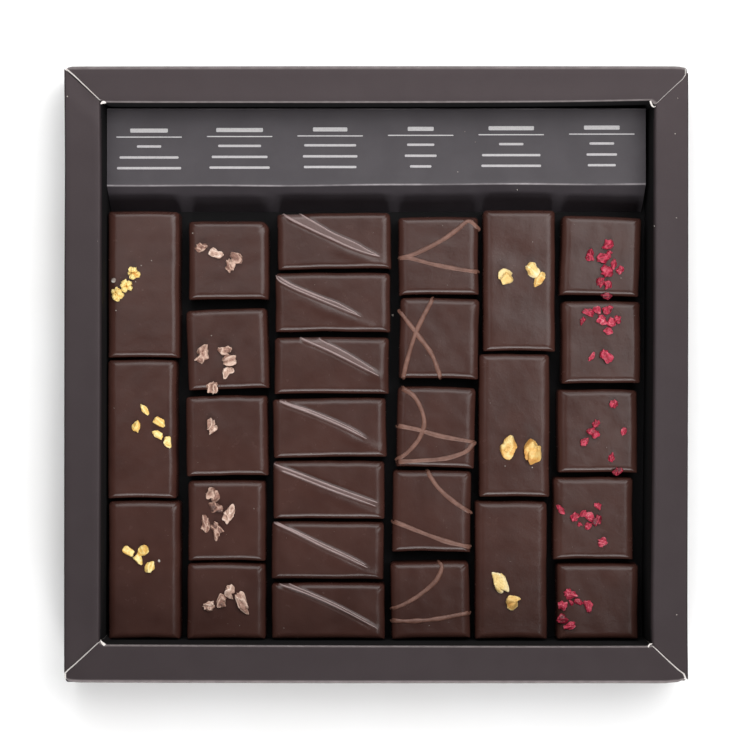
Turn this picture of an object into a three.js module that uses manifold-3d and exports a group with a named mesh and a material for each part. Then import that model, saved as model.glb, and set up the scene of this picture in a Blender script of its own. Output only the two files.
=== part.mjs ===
// An open square box of black card with enrobed chocolate pralines in six columns and a folded legend card.
// Millimetres, +Z up. The origin is the middle of the underside, +X runs to the right along the front wall,
// and +Y runs from the front wall to the legend card.
import * as THREE from "three";
import { mergeVertices } from "three/addons/utils/BufferGeometryUtils.js";
import Module from "manifold-3d";

const wasm = await Module();
wasm.setup();

// The box, its rim folds and the opening inside its thick walls
const BOX = { width: 190, depth: 188, height: 28, floor: 1.5, fold: 1, corner: 0.6, foot: 0.4 };
const OPENING = { west: -83.8, east: 84.2, south: -82.6, north: 83.4 };
const FOLD_STEPS = 3;

// The slits where the four folded-over flaps meet: the one at the back right stands a little open
const SLIT = { depth: 1.2, tip: 0.25, mouth: 0.4, openMouth: 1, overrun: 1 };

// The legend card: a level panel with one leg folded down at the back and one leaning leg at the front
const CARD = { west: -83.2, east: 83, north: 82.7, crease: 58.4, toe: 51.1, top: 16, thickness: 0.5 };

// Every praline: its height, and how its top edge rounds off and its corners turn
const PRALINE = { height: 13.5, corner: 1.5, foot: 0.5, footHeight: 0.9, unevenness: 0.15 };
const EDGE = { run: 2.8, drop: 2.3, power: 2.3, steps: 3 };
const CORNER_STEPS = 2;

// Where each praline lies: its west, east, south and north sides, and its turn in degrees
const PLACES = {
  sesame: [[-83, -60.8, 5.2, 50.5, 0], [-83.1, -61.7, -38.4, 4.5, 0], [-82.9, -60.6, -81.9, -39.2, 0]],
  nib: [
    [-58, -33.2, 23.2, 47.4, 0], [-58.5, -33.4, -4.6, 20.2, 1.9], [-58.9, -33.5, -31.4, -6.6, 0.8],
    [-58.2, -34.2, -57.7, -32.9, 0], [-58.5, -34.2, -81.9, -58.4, 0],
  ],
  ridge: [
    [-30.6, 4.6, 32.5, 49.9, 1], [-31.2, 4.4, 13.1, 31.5, 0], [-31.5, 4, -6, 11.5, 0],
    [-31.9, 3.2, -25.7, -7.4, 0.9], [-31.9, 2.6, -44.7, -26.8, 0], [-32.4, 2.4, -63.4, -45.6, -0.5],
    [-32.4, 2.7, -81.9, -64.6, 0],
  ],
  string: [
    [6.9, 31.7, 24.6, 48.7, 0.5], [7.2, 31.8, -1.3, 23.6, -1], [6.4, 30.6, -28.8, -3.9, -1.4],
    [5.1, 29.3, -54.9, -29.8, -0.7], [4.6, 29, -81.8, -58.1, 1.2],
  ],
  almond: [[33.1, 55.4, 7.2, 50.8, 0], [31.8, 53.7, -37.9, 6.3, 0], [30.6, 52.9, -81.9, -39.3, 0]],
  berry: [
    [57.2, 81.8, 24.3, 48.8, -2], [57.4, 81.9, -2.8, 22.7, 0], [56.2, 80.9, -30.4, -4.7, 0],
    [54.8, 79.5, -57.2, -31.9, 0], [55.9, 81.1, -81.9, -58.7, 0],
  ],
};

// How high a crumb stands for its plan width, how deep it sinks in, and how unevenly it is broken
const CRUMB = { tall: 0.75, sunk: 0.3, jitter: 0.2, turn: 25 };

// The crumbs on each praline, from its middle: east, north, east-west width, north-south length, turn
const CRUMBS = {
  sesame: [
    [[-2.9, 3.5, 4, 4], [-5.2, -0.4, 4, 4.2], [-8, -3, 4.2, 4.6]],
    [[0.85, 6.2, 1.9, 4.2, 32], [-1.75, 0.9, 2.8, 3.9], [5.55, 2.3, 2.6, 4.2, 60], [4.95, -1.5, 2.3, 3.9, 55],
      [8.05, -4, 2.6, 3.9, 0]],
    [[-4.75, 6, 2.6, 4, 50], [-0.25, 6.3, 3.7, 3.6], [-1.65, 3.4, 2.6, 3.8, 30], [1.85, 1.2, 3, 4.2, -35]],
  ],
  nib: [
    [[-8.4, 3.95, 4.2, 3.2], [-3.8, 2.25, 4.8, 3], [2.4, 0.75, 3.6, 4.8, 40], [0.5, -1.55, 3.5, 4.6, 10]],
    [[-7.55, -1.4, 4.2, 6.5, -15], [-0.85, -0.3, 4.5, 3.2], [0.75, -3.5, 4.6, 4], [0.25, -7, 4, 3.6],
      [-4.75, -11.8, 3.8, 4]],
    [[-4.55, 2.95, 3.8, 5.4, -15]],
    [[-3.95, 8.1, 5, 4.6], [-3.25, 4.4, 4, 4.3], [-6.45, -0.5, 2.9, 6, -8], [0.75, 2.4, 3.4, 6.6, -25],
      [-2.75, -2.8, 3.7, 6, 20]],
    [[1.25, 3, 3.8, 4.8, 0], [-1.35, 0.3, 3.2, 4.6, -10], [-5.25, -1.4, 3.9, 3.2], [5.25, -0.5, 3.6, 7.8, 28]],
  ],
  almond: [
    [[-4.25, 1.2, 4.9, 5.1], [4.05, 3.3, 3.8, 5.2, 30], [6.05, 0.4, 2.9, 5.4, -42]],
    [[-1.9, -6.75, 5.4, 7.6, 10], [5.6, -8.25, 6.3, 7.6]],
    [[-3.5, -3.45, 4.3, 7.6, 25], [0.3, -9.85, 4.4, 4.8, -15]],
  ],
  berry: [
    [[1.95, 3.7, 4, 3.4], [-3.15, 0.3, 3, 4], [0.55, -0.6, 4, 3.4], [3.95, -2.4, 2.3, 3.4, -20],
      [1.75, -4.5, 4, 4], [5.75, -4.2, 2.8, 2.9], [-0.35, -8, 2.6, 3.4], [1.95, -8.9, 2.8, 3], [1.75, -12.1, 3.4, 2.8, 0]],
    [[-4.2, 9.3, 4, 2.5], [-1.6, 9.9, 2.6, 2.8], [1.9, 10, 3.7, 3.1], [-0.1, 6.9, 3.4, 3.4],
      [3.1, 6.1, 3.1, 3.1], [4.9, 7.1, 2.5, 2.6], [2, 3.5, 3.2, 2.4], [-3, -4.5, 1.6, 3.4, -35], [1.4, -4.4, 4.6, 4.2]],
    [[4.8, 8.55, 2.8, 2.8], [-0.6, 2.45, 2.6, 2.6], [-1.6, -0.35, 4.4, 3.4], [-4.1, -3.25, 3.4, 2.4],
      [4.1, -7.95, 2.3, 3.2], [6.1, -12.35, 3.8, 2.6, 0]],
    [[-10.2, 2.9, 1.9, 3.8, 35], [1.3, 3.9, 2.4, 2.4], [-5.8, 0.7, 3.1, 3.1], [-1.1, 0.7, 3.1, 3.1],
      [1, -0.5, 3.1, 3.8], [-1.6, -2.1, 2.5, 2.3], [2.8, -7.2, 3.1, 3.3]],
    [[-8.6, 2.75, 4, 3.6], [-10.9, -1.05, 3.1, 3.3], [-11.2, -5.15, 3.8, 3.4], [-8.9, -7.25, 4, 2.6],
      [-5.9, 0.15, 3.2, 1.9], [-2.9, -1.45, 3, 4.3]],
  ],
};

// The raised folds of coating on the ridged pralines and the piped strings: height, width, length of a step
const CREST = { tall: 0.85, wide: 1.6, spacing: 4.5, endDip: 0.5 };
const STRING = { tall: 0.6, wide: 1.2, spacing: 3, endDip: 0.2 };

// The lines they follow, from each praline's middle: east and north
const CREST_LINES = [
  [[[-15.5, 8.3], [-11.1, 5.3], [-1.2, 0.4], [8.6, -4], [15.8, -6.6]],
    [[-9.7, 7.8], [-0.3, 2.5], [8.6, -2.1], [14.9, -4.9]]],
  [[[-17, 8], [-13.2, 5.2], [-4.9, 1.2], [1.9, -1.6], [8.4, -4.4]],
    [[-11.1, 3.2], [-0.8, -1.2], [5.9, -4.4], [12.7, -7.7]]],
  [[[-8.9, 8.1], [-0.4, 4.3], [9.4, -0.6], [16.4, -3.6]], [[-3.2, 7.7], [4.5, 3.8], [13.3, -1.3]]],
  [[[-14.3, 8.1], [-4.8, 4.3], [5, -0.2], [11.8, -3.9], [15.8, -6.7]]],
  [[[-16.2, 7.9], [-9.4, 5.2], [0.5, 1.3], [10.3, -2.2], [15.2, -3.9]],
    [[-12.5, 5.1], [0.5, 0.1], [10.3, -3.6], [14.7, -5.2]]],
  [[[-15.8, 8.2], [-11.6, 6.3], [-1.7, 1.3], [5.7, -2], [12.5, -5.4], [14.4, -6.8]]],
  [[[-14.3, 8.2], [-6.8, 5.5], [3.1, 1.1], [12.3, -3.8], [16.1, -5.8]]],
];
const STRING_LINES = [
  [[[-12.2, -0.7], [-6.8, 0.8], [0.7, 4.5], [5.6, 7.9], [9.2, 10.7], [11.8, 8.9]],
    [[-12.2, -0.7], [-9, -0.7], [-1.9, -2.7], [5.6, -4.1], [11.9, -4.9]]],
  [[[-2, 12], [-6.9, 2.8], [-9.8, -6.2], [-11.1, -11.9]],
    [[-11.8, 7.9], [-6.9, 1.2], [-2.4, -5.1], [0.3, -12.1]]],
  [[[-10.2, 11.9], [-6.8, 9.5], [-4.4, 5.1], [-3.7, 0.8], [-5.3, -3.6], [-8.7, -7.7], [-11.6, -9.7]],
    [[-11.7, 0.6], [-5.8, -0.8], [1.5, -2.9], [11.4, -4.5]],
    [[11.4, -5.1], [8.9, -7.7], [2.6, -9.7], [-5.8, -10.4], [-11.5, -10.5]]],
  [[[-1.4, 12.2], [1.9, 7.4], [6.2, 3.4], [11.7, -0.2]],
    [[-11.8, -3], [-6, -5.4], [0.2, -7.9], [5.2, -9.6], [10.9, -10.8]]],
  [[[2.5, 11.6], [3.5, 10.3], [1.9, 6.3], [-2.6, 2.2], [-7.5, -0.8], [-11.8, -2.5]],
    [[-11.8, -6.1], [-5.5, -6.4], [2.4, -5.7], [11.9, -3.7]]],
];

// The finishes: black card, printed card, and the dark couverture with what lies on it
const FINISH = {
  box: { color: 0x403b3c, roughness: 0.6 },
  card: { color: 0x454142, roughness: 0.65 },
  sesame: { color: 0x4a3734, roughness: 0.4 },
  nib: { color: 0x4c3835, roughness: 0.4 },
  ridge: { color: 0x4a3533, roughness: 0.35 },
  string: { color: 0x4d3936, roughness: 0.4 },
  almond: { color: 0x513d3a, roughness: 0.4 },
  berry: { color: 0x533d3b, roughness: 0.4 },
};

// Draws numbers between two limits, the same ones on every run
function seededDraw(seed) {
  let state = seed;
  return (low, high) => {
    state = (state + 0x6d2b79f5) | 0;
    let mixed = Math.imul(state ^ (state >>> 15), 1 | state);
    mixed = (mixed + Math.imul(mixed ^ (mixed >>> 7), 61 | mixed)) ^ mixed;
    return low + ((high - low) * ((mixed ^ (mixed >>> 14)) >>> 0)) / 2 ** 32;
  };
}

// A rounded rectangle at one height, as points that run anticlockwise
function roundedOutline({ west, east, south, north }, radius, height) {
  const centres = [
    [east - radius, north - radius], [west + radius, north - radius],
    [west + radius, south + radius], [east - radius, south + radius],
  ];
  return centres.flatMap(([x, y], quarter) =>
    Array.from({ length: CORNER_STEPS + 1 }, (_, step) => {
      const angle = ((quarter + step / CORNER_STEPS) * Math.PI) / 2;
      return new THREE.Vector3(x + radius * Math.cos(angle), y + radius * Math.sin(angle), height);
    }),
  );
}

// The same rectangle drawn in by an inset on every side
function inset({ west, east, south, north }, by) {
  return { west: west + by, east: east - by, south: south + by, north: north - by };
}

// Joins outlines of equal point count one after the other and closes the first and the last
function loft(outlines) {
  const count = outlines[0].length;
  const points = outlines.flat();
  const faces = [];
  for (let ring = 0; ring < outlines.length - 1; ring++) {
    for (let side = 0; side < count; side++) {
      const here = ring * count + side;
      const next = ring * count + ((side + 1) % count);
      faces.push(here, next, next + count, here, next + count, here + count);
    }
  }
  for (const [ring, facesDown] of [[0, true], [outlines.length - 1, false]]) {
    const middle = new THREE.Vector3();
    outlines[ring].forEach((point) => middle.addScaledVector(point, 1 / count));
    const hub = points.push(middle) - 1;
    for (let side = 0; side < count; side++) {
      const here = ring * count + side;
      const next = ring * count + ((side + 1) % count);
      faces.push(hub, facesDown ? next : here, facesDown ? here : next);
    }
  }
  return new THREE.BufferGeometry().setFromPoints(points).setIndex(faces);
}

// A closed three.js geometry as a solid that can be joined and cut
function solidOf(geometry) {
  const bare = new THREE.BufferGeometry().setAttribute("position", geometry.getAttribute("position"));
  bare.setIndex(geometry.index);
  const merged = mergeVertices(bare, 1e-4);
  return new wasm.Manifold(
    new wasm.Mesh({
      numProp: 3,
      vertProperties: merged.getAttribute("position").array,
      triVerts: new Uint32Array(merged.index.array),
    }),
  );
}

// A solid as a named mesh with its finish
function pieceOf(name, solid, { color, roughness }) {
  const { vertProperties, triVerts } = solid.getMesh();
  const geometry = new THREE.BufferGeometry()
    .setAttribute("position", new THREE.BufferAttribute(vertProperties, 3))
    .setIndex(new THREE.BufferAttribute(triVerts, 1));
  geometry.computeVertexNormals();
  const mesh = new THREE.Mesh(geometry, new THREE.MeshStandardMaterial({ color, roughness, metalness: 0 }));
  mesh.name = name;
  return mesh;
}

// A V-shaped slit through the rim, from an inner corner of the opening to the outer corner beside it
function mitreSlit(inner, outer, mouth) {
  const run = outer.clone().sub(inner);
  const far = run.length() + SLIT.overrun;
  const wedge = new THREE.Shape([
    new THREE.Vector2(-SLIT.overrun, -SLIT.tip / 2),
    new THREE.Vector2(far, -mouth / 2),
    new THREE.Vector2(far, mouth / 2),
    new THREE.Vector2(-SLIT.overrun, SLIT.tip / 2),
  ]);
  return solidOf(
    new THREE.ExtrudeGeometry(wedge, { depth: SLIT.depth + SLIT.overrun, bevelEnabled: false })
      .rotateZ(run.angle())
      .translate(inner.x, inner.y, BOX.height - SLIT.depth),
  );
}

// The box: outer walls, the rounded rim folds, inner walls and the floor, in one piece of board
function makeBox() {
  const outside = { west: -BOX.width / 2, east: BOX.width / 2, south: -BOX.depth / 2, north: BOX.depth / 2 };
  const outlines = [
    roundedOutline(inset(outside, BOX.foot), BOX.corner, 0),
    roundedOutline(outside, BOX.corner, BOX.foot),
  ];
  for (let step = 0; step <= FOLD_STEPS; step++) {
    const angle = (step / FOLD_STEPS) * (Math.PI / 2);
    const drawnIn = inset(outside, BOX.fold * (1 - Math.cos(angle)));
    outlines.push(roundedOutline(drawnIn, BOX.corner, BOX.height - BOX.fold * (1 - Math.sin(angle))));
  }
  for (let step = FOLD_STEPS; step >= 0; step--) {
    const angle = (step / FOLD_STEPS) * (Math.PI / 2);
    const spread = inset(OPENING, -BOX.fold * (1 - Math.cos(angle)));
    outlines.push(roundedOutline(spread, BOX.corner, BOX.height - BOX.fold * (1 - Math.sin(angle))));
  }
  outlines.push(roundedOutline(OPENING, BOX.corner, BOX.floor));
  let box = solidOf(loft(outlines));
  for (const eastward of [false, true]) {
    for (const northward of [false, true]) {
      const inner = new THREE.Vector2(eastward ? OPENING.east : OPENING.west, northward ? OPENING.north : OPENING.south);
      const outer = new THREE.Vector2(eastward ? outside.east : outside.west, northward ? outside.north : outside.south);
      box = box.subtract(mitreSlit(inner, outer, eastward && northward ? SLIT.openMouth : SLIT.mouth));
    }
  }
  return pieceOf("box", box, FINISH.box);
}

// The legend card, drawn from the side and drawn out along its width
function makeLegendCard() {
  const { north, crease, toe, top, thickness } = CARD;
  const floor = BOX.floor;
  const lean = (crease - toe) / (top - floor);
  const legThickness = thickness * Math.hypot(1, lean);
  const underside = top - thickness;
  const side = new THREE.Shape([
    new THREE.Vector2(toe, floor),
    new THREE.Vector2(toe + legThickness, floor),
    new THREE.Vector2(toe + legThickness + lean * (underside - floor), underside),
    new THREE.Vector2(north - thickness, underside),
    new THREE.Vector2(north - thickness, floor),
    new THREE.Vector2(north, floor),
    new THREE.Vector2(north, top),
    new THREE.Vector2(crease, top),
  ]);
  const sheet = new THREE.ExtrudeGeometry(side, { depth: CARD.east - CARD.west, bevelEnabled: false });
  const acrossTheBox = new THREE.Matrix4().makeBasis(
    new THREE.Vector3(0, 1, 0),
    new THREE.Vector3(0, 0, 1),
    new THREE.Vector3(1, 0, 0),
  );
  sheet.applyMatrix4(acrossTheBox).translate(CARD.west, 0, 0);
  return pieceOf("legend_card", solidOf(sheet), FINISH.card);
}

// How far the top edge has dropped at a distance in from the side
function edgeDrop(distance) {
  const across = Math.min(Math.max(1 - distance / EDGE.run, 0), 1);
  return EDGE.drop * (1 - (1 - across ** EDGE.power) ** (1 / EDGE.power));
}

// The body of a praline about its own middle: an upright block with a soft top edge and an uneven top
function pralineBody({ halfWidth, halfLength }, turn, draw) {
  const block = { west: -halfWidth, east: halfWidth, south: -halfLength, north: halfLength };
  const shoulder = PRALINE.height - EDGE.drop;
  const outlines = [
    roundedOutline(inset(block, PRALINE.foot), PRALINE.corner, 0),
    roundedOutline(block, PRALINE.corner, PRALINE.footHeight),
    roundedOutline(block, PRALINE.corner, shoulder),
  ];
  for (let step = 1; step <= EDGE.steps; step++) {
    const angle = (step / EDGE.steps) * (Math.PI / 2);
    const across = Math.cos(angle) ** (2 / EDGE.power);
    const distance = EDGE.run * (1 - across);
    outlines.push(roundedOutline(inset(block, distance), PRALINE.corner, PRALINE.height - edgeDrop(distance)));
  }
  const slopeEast = draw(-PRALINE.unevenness, PRALINE.unevenness) / halfWidth;
  const slopeNorth = draw(-PRALINE.unevenness, PRALINE.unevenness) / halfLength;
  for (const point of outlines.slice(2).flat()) point.z += slopeEast * point.x + slopeNorth * point.y;
  return solidOf(loft(outlines).rotateZ(THREE.MathUtils.degToRad(turn)));
}

// The height of a praline's top at a place, from its underside
function topHeight({ halfWidth, halfLength }, east, north) {
  return PRALINE.height - edgeDrop(Math.min(halfWidth - Math.abs(east), halfLength - Math.abs(north)));
}

// One broken crumb of seed, nib, nut or dried berry, sunk a little into the praline's top
function makeCrumb([east, north, wide, long, turn], size, draw) {
  const lump = new THREE.IcosahedronGeometry(0.5, 0);
  lump.deleteAttribute("normal");
  lump.deleteAttribute("uv");
  const broken = mergeVertices(lump);
  const corners = broken.getAttribute("position");
  for (let corner = 0; corner < corners.count; corner++) {
    const reach = 1 + draw(-CRUMB.jitter, CRUMB.jitter);
    corners.setXYZ(corner, corners.getX(corner) * reach, corners.getY(corner) * reach, corners.getZ(corner) * reach);
  }
  const tall = CRUMB.tall * Math.min(wide, long);
  const turned = turn ?? draw(-CRUMB.turn, CRUMB.turn);
  broken.scale(wide, long, tall).rotateZ(THREE.MathUtils.degToRad(turned));
  return solidOf(broken.translate(east, north, topHeight(size, east, north) + tall * (0.5 - CRUMB.sunk)));
}

// A line of chocolate laid on a praline: a peaked section drawn along a curve, with its ends dipping in
function makeLine(places, line, size) {
  const points = places.map(([east, north], index) => {
    const atEnd = index === 0 || index === places.length - 1;
    return new THREE.Vector3(east, north, topHeight(size, east, north) - (atEnd ? line.endDip : 0));
  });
  const path = new THREE.CatmullRomCurve3(points);
  const section = new THREE.Shape([
    new THREE.Vector2(line.tall, 0),
    new THREE.Vector2(0, line.wide / 2),
    new THREE.Vector2(-line.tall, 0),
    new THREE.Vector2(0, -line.wide / 2),
  ]);
  const steps = Math.round(path.getLength() / line.spacing);
  return solidOf(new THREE.ExtrudeGeometry(section, { steps, extrudePath: path, bevelEnabled: false }));
}

// One praline with what lies on it joined to its body, standing on the floor of the box
function makePraline(kind, index, draw) {
  const [west, east, south, north, turn] = PLACES[kind][index];
  const size = { halfWidth: (east - west) / 2, halfLength: (north - south) / 2 };
  const crumbs = (CRUMBS[kind]?.[index] ?? []).map((crumb) => makeCrumb(crumb, size, draw));
  const crests = kind === "ridge" ? CREST_LINES[index].map((places) => makeLine(places, CREST, size)) : [];
  const strings = kind === "string" ? STRING_LINES[index].map((places) => makeLine(places, STRING, size)) : [];
  const body = pralineBody(size, turn, draw);
  const praline = [...crumbs, ...crests, ...strings].reduce((joined, topping) => joined.add(topping), body);
  const mesh = pieceOf(`${kind}_${index + 1}`, praline, FINISH[kind]);
  mesh.position.set((west + east) / 2, (south + north) / 2, BOX.floor);
  return mesh;
}

const pralineBox = new THREE.Group();
pralineBox.add(makeBox(), makeLegendCard());
const draw = seededDraw(28);
for (const [kind, places] of Object.entries(PLACES)) {
  places.forEach((_, index) => pralineBox.add(makePraline(kind, index, draw)));
}

export default pralineBox;
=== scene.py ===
import math
import random

import bmesh
import bpy
import numpy as np
from mathutils import Matrix, Vector


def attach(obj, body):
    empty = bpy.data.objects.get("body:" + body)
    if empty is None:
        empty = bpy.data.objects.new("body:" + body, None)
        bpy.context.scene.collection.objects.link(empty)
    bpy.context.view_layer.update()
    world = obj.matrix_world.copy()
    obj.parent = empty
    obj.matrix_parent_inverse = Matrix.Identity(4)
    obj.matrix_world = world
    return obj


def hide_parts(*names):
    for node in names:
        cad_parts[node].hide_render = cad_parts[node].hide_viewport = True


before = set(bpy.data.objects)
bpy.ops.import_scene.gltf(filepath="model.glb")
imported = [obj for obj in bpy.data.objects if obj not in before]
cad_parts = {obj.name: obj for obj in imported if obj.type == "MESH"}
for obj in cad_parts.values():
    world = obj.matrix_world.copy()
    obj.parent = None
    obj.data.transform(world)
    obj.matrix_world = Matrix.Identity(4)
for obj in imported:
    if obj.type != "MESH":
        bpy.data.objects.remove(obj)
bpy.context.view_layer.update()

# Lengths are in metres. Places marked out on a praline are in millimetres from its middle.
MM = 0.001

# The box: outer sides, opening, heights of rim and floor, board, the radius of each fold, and the lip under
# its foot. The painted shade inside the opening, a duller black on the walls, starts a little below the rim.
# SIDE_PLACES is the number of points along a side, BOW, CROWN and DENT are how uneven it is, and HARD_EDGE is
# the least angle of a hard edge, in degrees.
OUTER = {"west": -94.98 * MM, "east": 94.98 * MM, "south": -93.96 * MM, "north": 93.96 * MM}
INNER = {"west": -83.4 * MM, "east": 84.2 * MM, "south": -82.1 * MM, "north": 82.65 * MM}
RIM = 28 * MM
FLOOR = 1.5 * MM
BOARD = 0.45 * MM
OUTER_FOLD = {"north": 1.2 * MM, "south": 1.2 * MM, "west": 0.55 * MM, "east": 0.55 * MM}
INNER_FOLD = {"north": 0.65 * MM, "south": 0.65 * MM, "west": 1.3 * MM, "east": 1.3 * MM}
FOOT_FOLD = 0.6 * MM
LIP = 3 * MM
PAINTED_SHADE_BELOW = 0.9 * MM
SIDE_PLACES = 110
BOW = 0.05 * MM
CROWN = 0.1 * MM
DENT = 0.06 * MM
TEAR_RUN = 1.9 * MM
HARD_EDGE = 35

# How far the rim's edges wander outwards from straight, at places along each side, in millimetres
INNER_WANDER = {
    "north": [(-84, 0.1), (-60, 0.0), (0, 0.0), (40, 0.15), (60, 0.3), (78, 0.6), (85, 0.75)],
    "south": [(-84, -0.1), (-50, 0.0), (0, 0.2), (53, 0.35), (84, 0.3)],
    "west": [(-83, 0.4), (-68, 0.35), (-20, 0.1), (30, 0.0), (60, -0.1), (83, 0.1)],
    "east": [(-83, -0.6), (-68, -0.75), (-22, -0.3), (23, 0.0), (68, 0.1), (83, 0.2)],
}
OUTER_WANDER = {
    "north": [(-94, -0.5), (-92.7, -0.15), (-90, -0.1), (0, 0.0), (90, -0.05), (92.4, -0.15),
              (94.2, -0.55)],
    "south": [(-94.4, -1.3), (-93.5, -0.65), (-91.4, -0.3), (-85, -0.2), (-54, -0.1), (0, 0.0), (88, 0.0),
              (91.9, -0.4), (93.7, -1.1)],
    "west": [(-94, 0.0), (-60, 0.0), (20, -0.08), (60, -0.25), (80, -0.15), (92, 0.0), (94, 0.0)],
    "east": [(-94, 0.0), (-68, -0.25), (22, 0.0), (94, 0.0)],
}

# The slits at the ends of the front and back flaps: their inner and outer ends in millimetres, where the flap
# stops short, and how much of the raw board shows
MITRES = {
    "north_west": {"inner": (-83.7, 83.3), "outer": (-94.2, 93.6), "stop": -93.9, "raw": 1.0},
    "north_east": {"inner": (84.8, 81.4), "outer": (95.0, 91.6), "stop": 93.9, "raw": 0.45},
    "south_west": {"inner": (-83.7, -81.0), "outer": (-95.0, -91.5), "stop": -94.3, "raw": 1.0},
    "south_east": {"inner": (83.6, -81.9), "outer": (94.8, -92.8), "stop": 93.7, "raw": 0.9},
}

# The share of a flap's width over which its tongue tapers, and how far its cut ends slope through the board
TONGUE_SHARE = 0.25
CUT_SLOPE = 0.5 * MM

# The side flaps' tips, and how far their ends are pressed down under the front and back flaps
SIDE_TIPS = {"west": (93.1, -91.8), "east": (92.0, -92.9)}
TUCK = {"depth": 0.32 * MM, "run": 9 * MM, "below_rim": 0.13 * MM}

# The glue tabs behind the corners: how far behind, their reach, fold and thickness, and where they end
TAB = {"behind": 0.7 * MM, "reach": 9 * MM, "fold": 0.5 * MM, "thick": 0.4 * MM, "low": 0.6 * MM,
       "below_rim": 2.2 * MM}

# Lips of raw board torn pale at the inner corners: places along each, and its half width there, in
# millimetres
TORN_LIPS = {
    "north_west": ([(-83.75, 82.3), (-83.3, 82.75), (-82.7, 82.85), (-82.1, 82.65)],
                   [0.16, 0.42, 0.46, 0.10]),
    "north_east": ([(83.35, 83.3), (83.6, 82.55), (83.95, 81.8), (84.5, 81.45), (84.95, 81.6)],
                   [0.26, 0.28, 0.27, 0.20, 0.10]),
    "south_west": ([(-83.85, -80.7), (-83.5, -81.3), (-83.05, -81.9), (-82.6, -82.35)],
                   [0.10, 0.26, 0.48, 0.62]),
    "south_east": ([(83.95, -81.85), (83.3, -81.95), (82.85, -82.5), (82.75, -83.2)],
                   [0.12, 0.25, 0.26, 0.20]),
}

# The legend card: its edges, crease and toe, and how much its panel and crease wander
CARD = {"west": -83.1 * MM, "east": 83.2 * MM, "north": 82.3 * MM, "top": 16 * MM, "paper": 0.42 * MM}
CREASE = {"line": 58.5 * MM, "lean": 0.35 * MM, "wander": 0.12 * MM, "fold": 0.9 * MM, "toe": 51.1 * MM}
BEAD = {"tall": 0.10 * MM, "behind": 0.3 * MM, "wide": 0.55 * MM}
LEG_BULGE = 0.25 * MM
PANEL_BOW = 0.16 * MM
PANEL_UNEVEN = 0.05 * MM

# The coating of every praline: its height, how its top rounds off over the sides (in less at the north and
# south ends), its foot, and how far its north and south sides bow
HEIGHT = 13.5 * MM
EDGE_RUN = 2.8 * MM
END_RUN = 1.9 * MM
EDGE_DROP = 2.3 * MM
EDGE_POWER = 2.3
EDGE_STEPS = 12
FOOT = 0.5 * MM
FOOT_HEIGHT = 0.9 * MM
SIDE_BOW = 0.2 * MM

# How uneven the coating is: its slow and its quick waves, how far its sides are drawn in, the way in from the
# side over which relief rises, and the way in over which the corners lose their roundness
SETTLED = 0.05 * MM
RIPPLED = 0.018 * MM
DRAWN_IN = 0.08 * MM
RELIEF_RUN = 0.6 * MM
CORNER_RUN = 2.5 * MM

# West, east, south and north sides of each praline in millimetres, and its turn in degrees
PLACES = {
    "sesame": [(-83, -60.8, 5.2, 50.5, 0), (-83.1, -61.7, -38.4, 4.5, 0),
               (-82.9, -60.6, -81.9, -39.2, 0)],
    "nib": [
        (-58, -33.2, 23.2, 47.4, 0), (-58.5, -33.4, -4.6, 20.2, 1.9), (-58.9, -33.5, -31.4, -6.6, 0.8),
        (-58.2, -34.2, -57.7, -32.9, 0), (-58.5, -34.2, -81.9, -58.4, 0),
    ],
    "ridge": [
        (-30.6, 4.6, 32.5, 49.9, 1), (-31.2, 4.4, 13.1, 31.5, 0), (-31.5, 4, -6, 11.5, 0),
        (-31.9, 3.2, -25.7, -7.4, 0.9), (-31.9, 2.6, -44.7, -26.8, 0), (-32.4, 2.4, -63.4, -45.6, -0.5),
        (-32.4, 2.7, -81.9, -64.6, 0),
    ],
    "string": [
        (6.9, 31.7, 24.6, 48.7, 0.5), (7.2, 31.8, -1.3, 23.6, -1), (6.4, 30.6, -28.8, -3.9, -1.4),
        (5.1, 29.3, -54.9, -29.8, -0.7), (4.6, 29, -81.8, -58.1, 1.2),
    ],
    "almond": [(33.1, 55.4, 7.2, 50.8, 0), (31.8, 53.7, -37.9, 6.3, 0), (30.6, 52.9, -81.9, -39.3, 0)],
    "berry": [
        (57.2, 81.8, 24.3, 48.8, -2), (57.4, 81.9, -2.8, 22.7, 0), (56.2, 80.9, -30.4, -4.7, 0),
        (54.8, 79.5, -57.2, -31.9, 0), (55.9, 81.1, -81.9, -58.7, 0),
    ],
}

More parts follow.
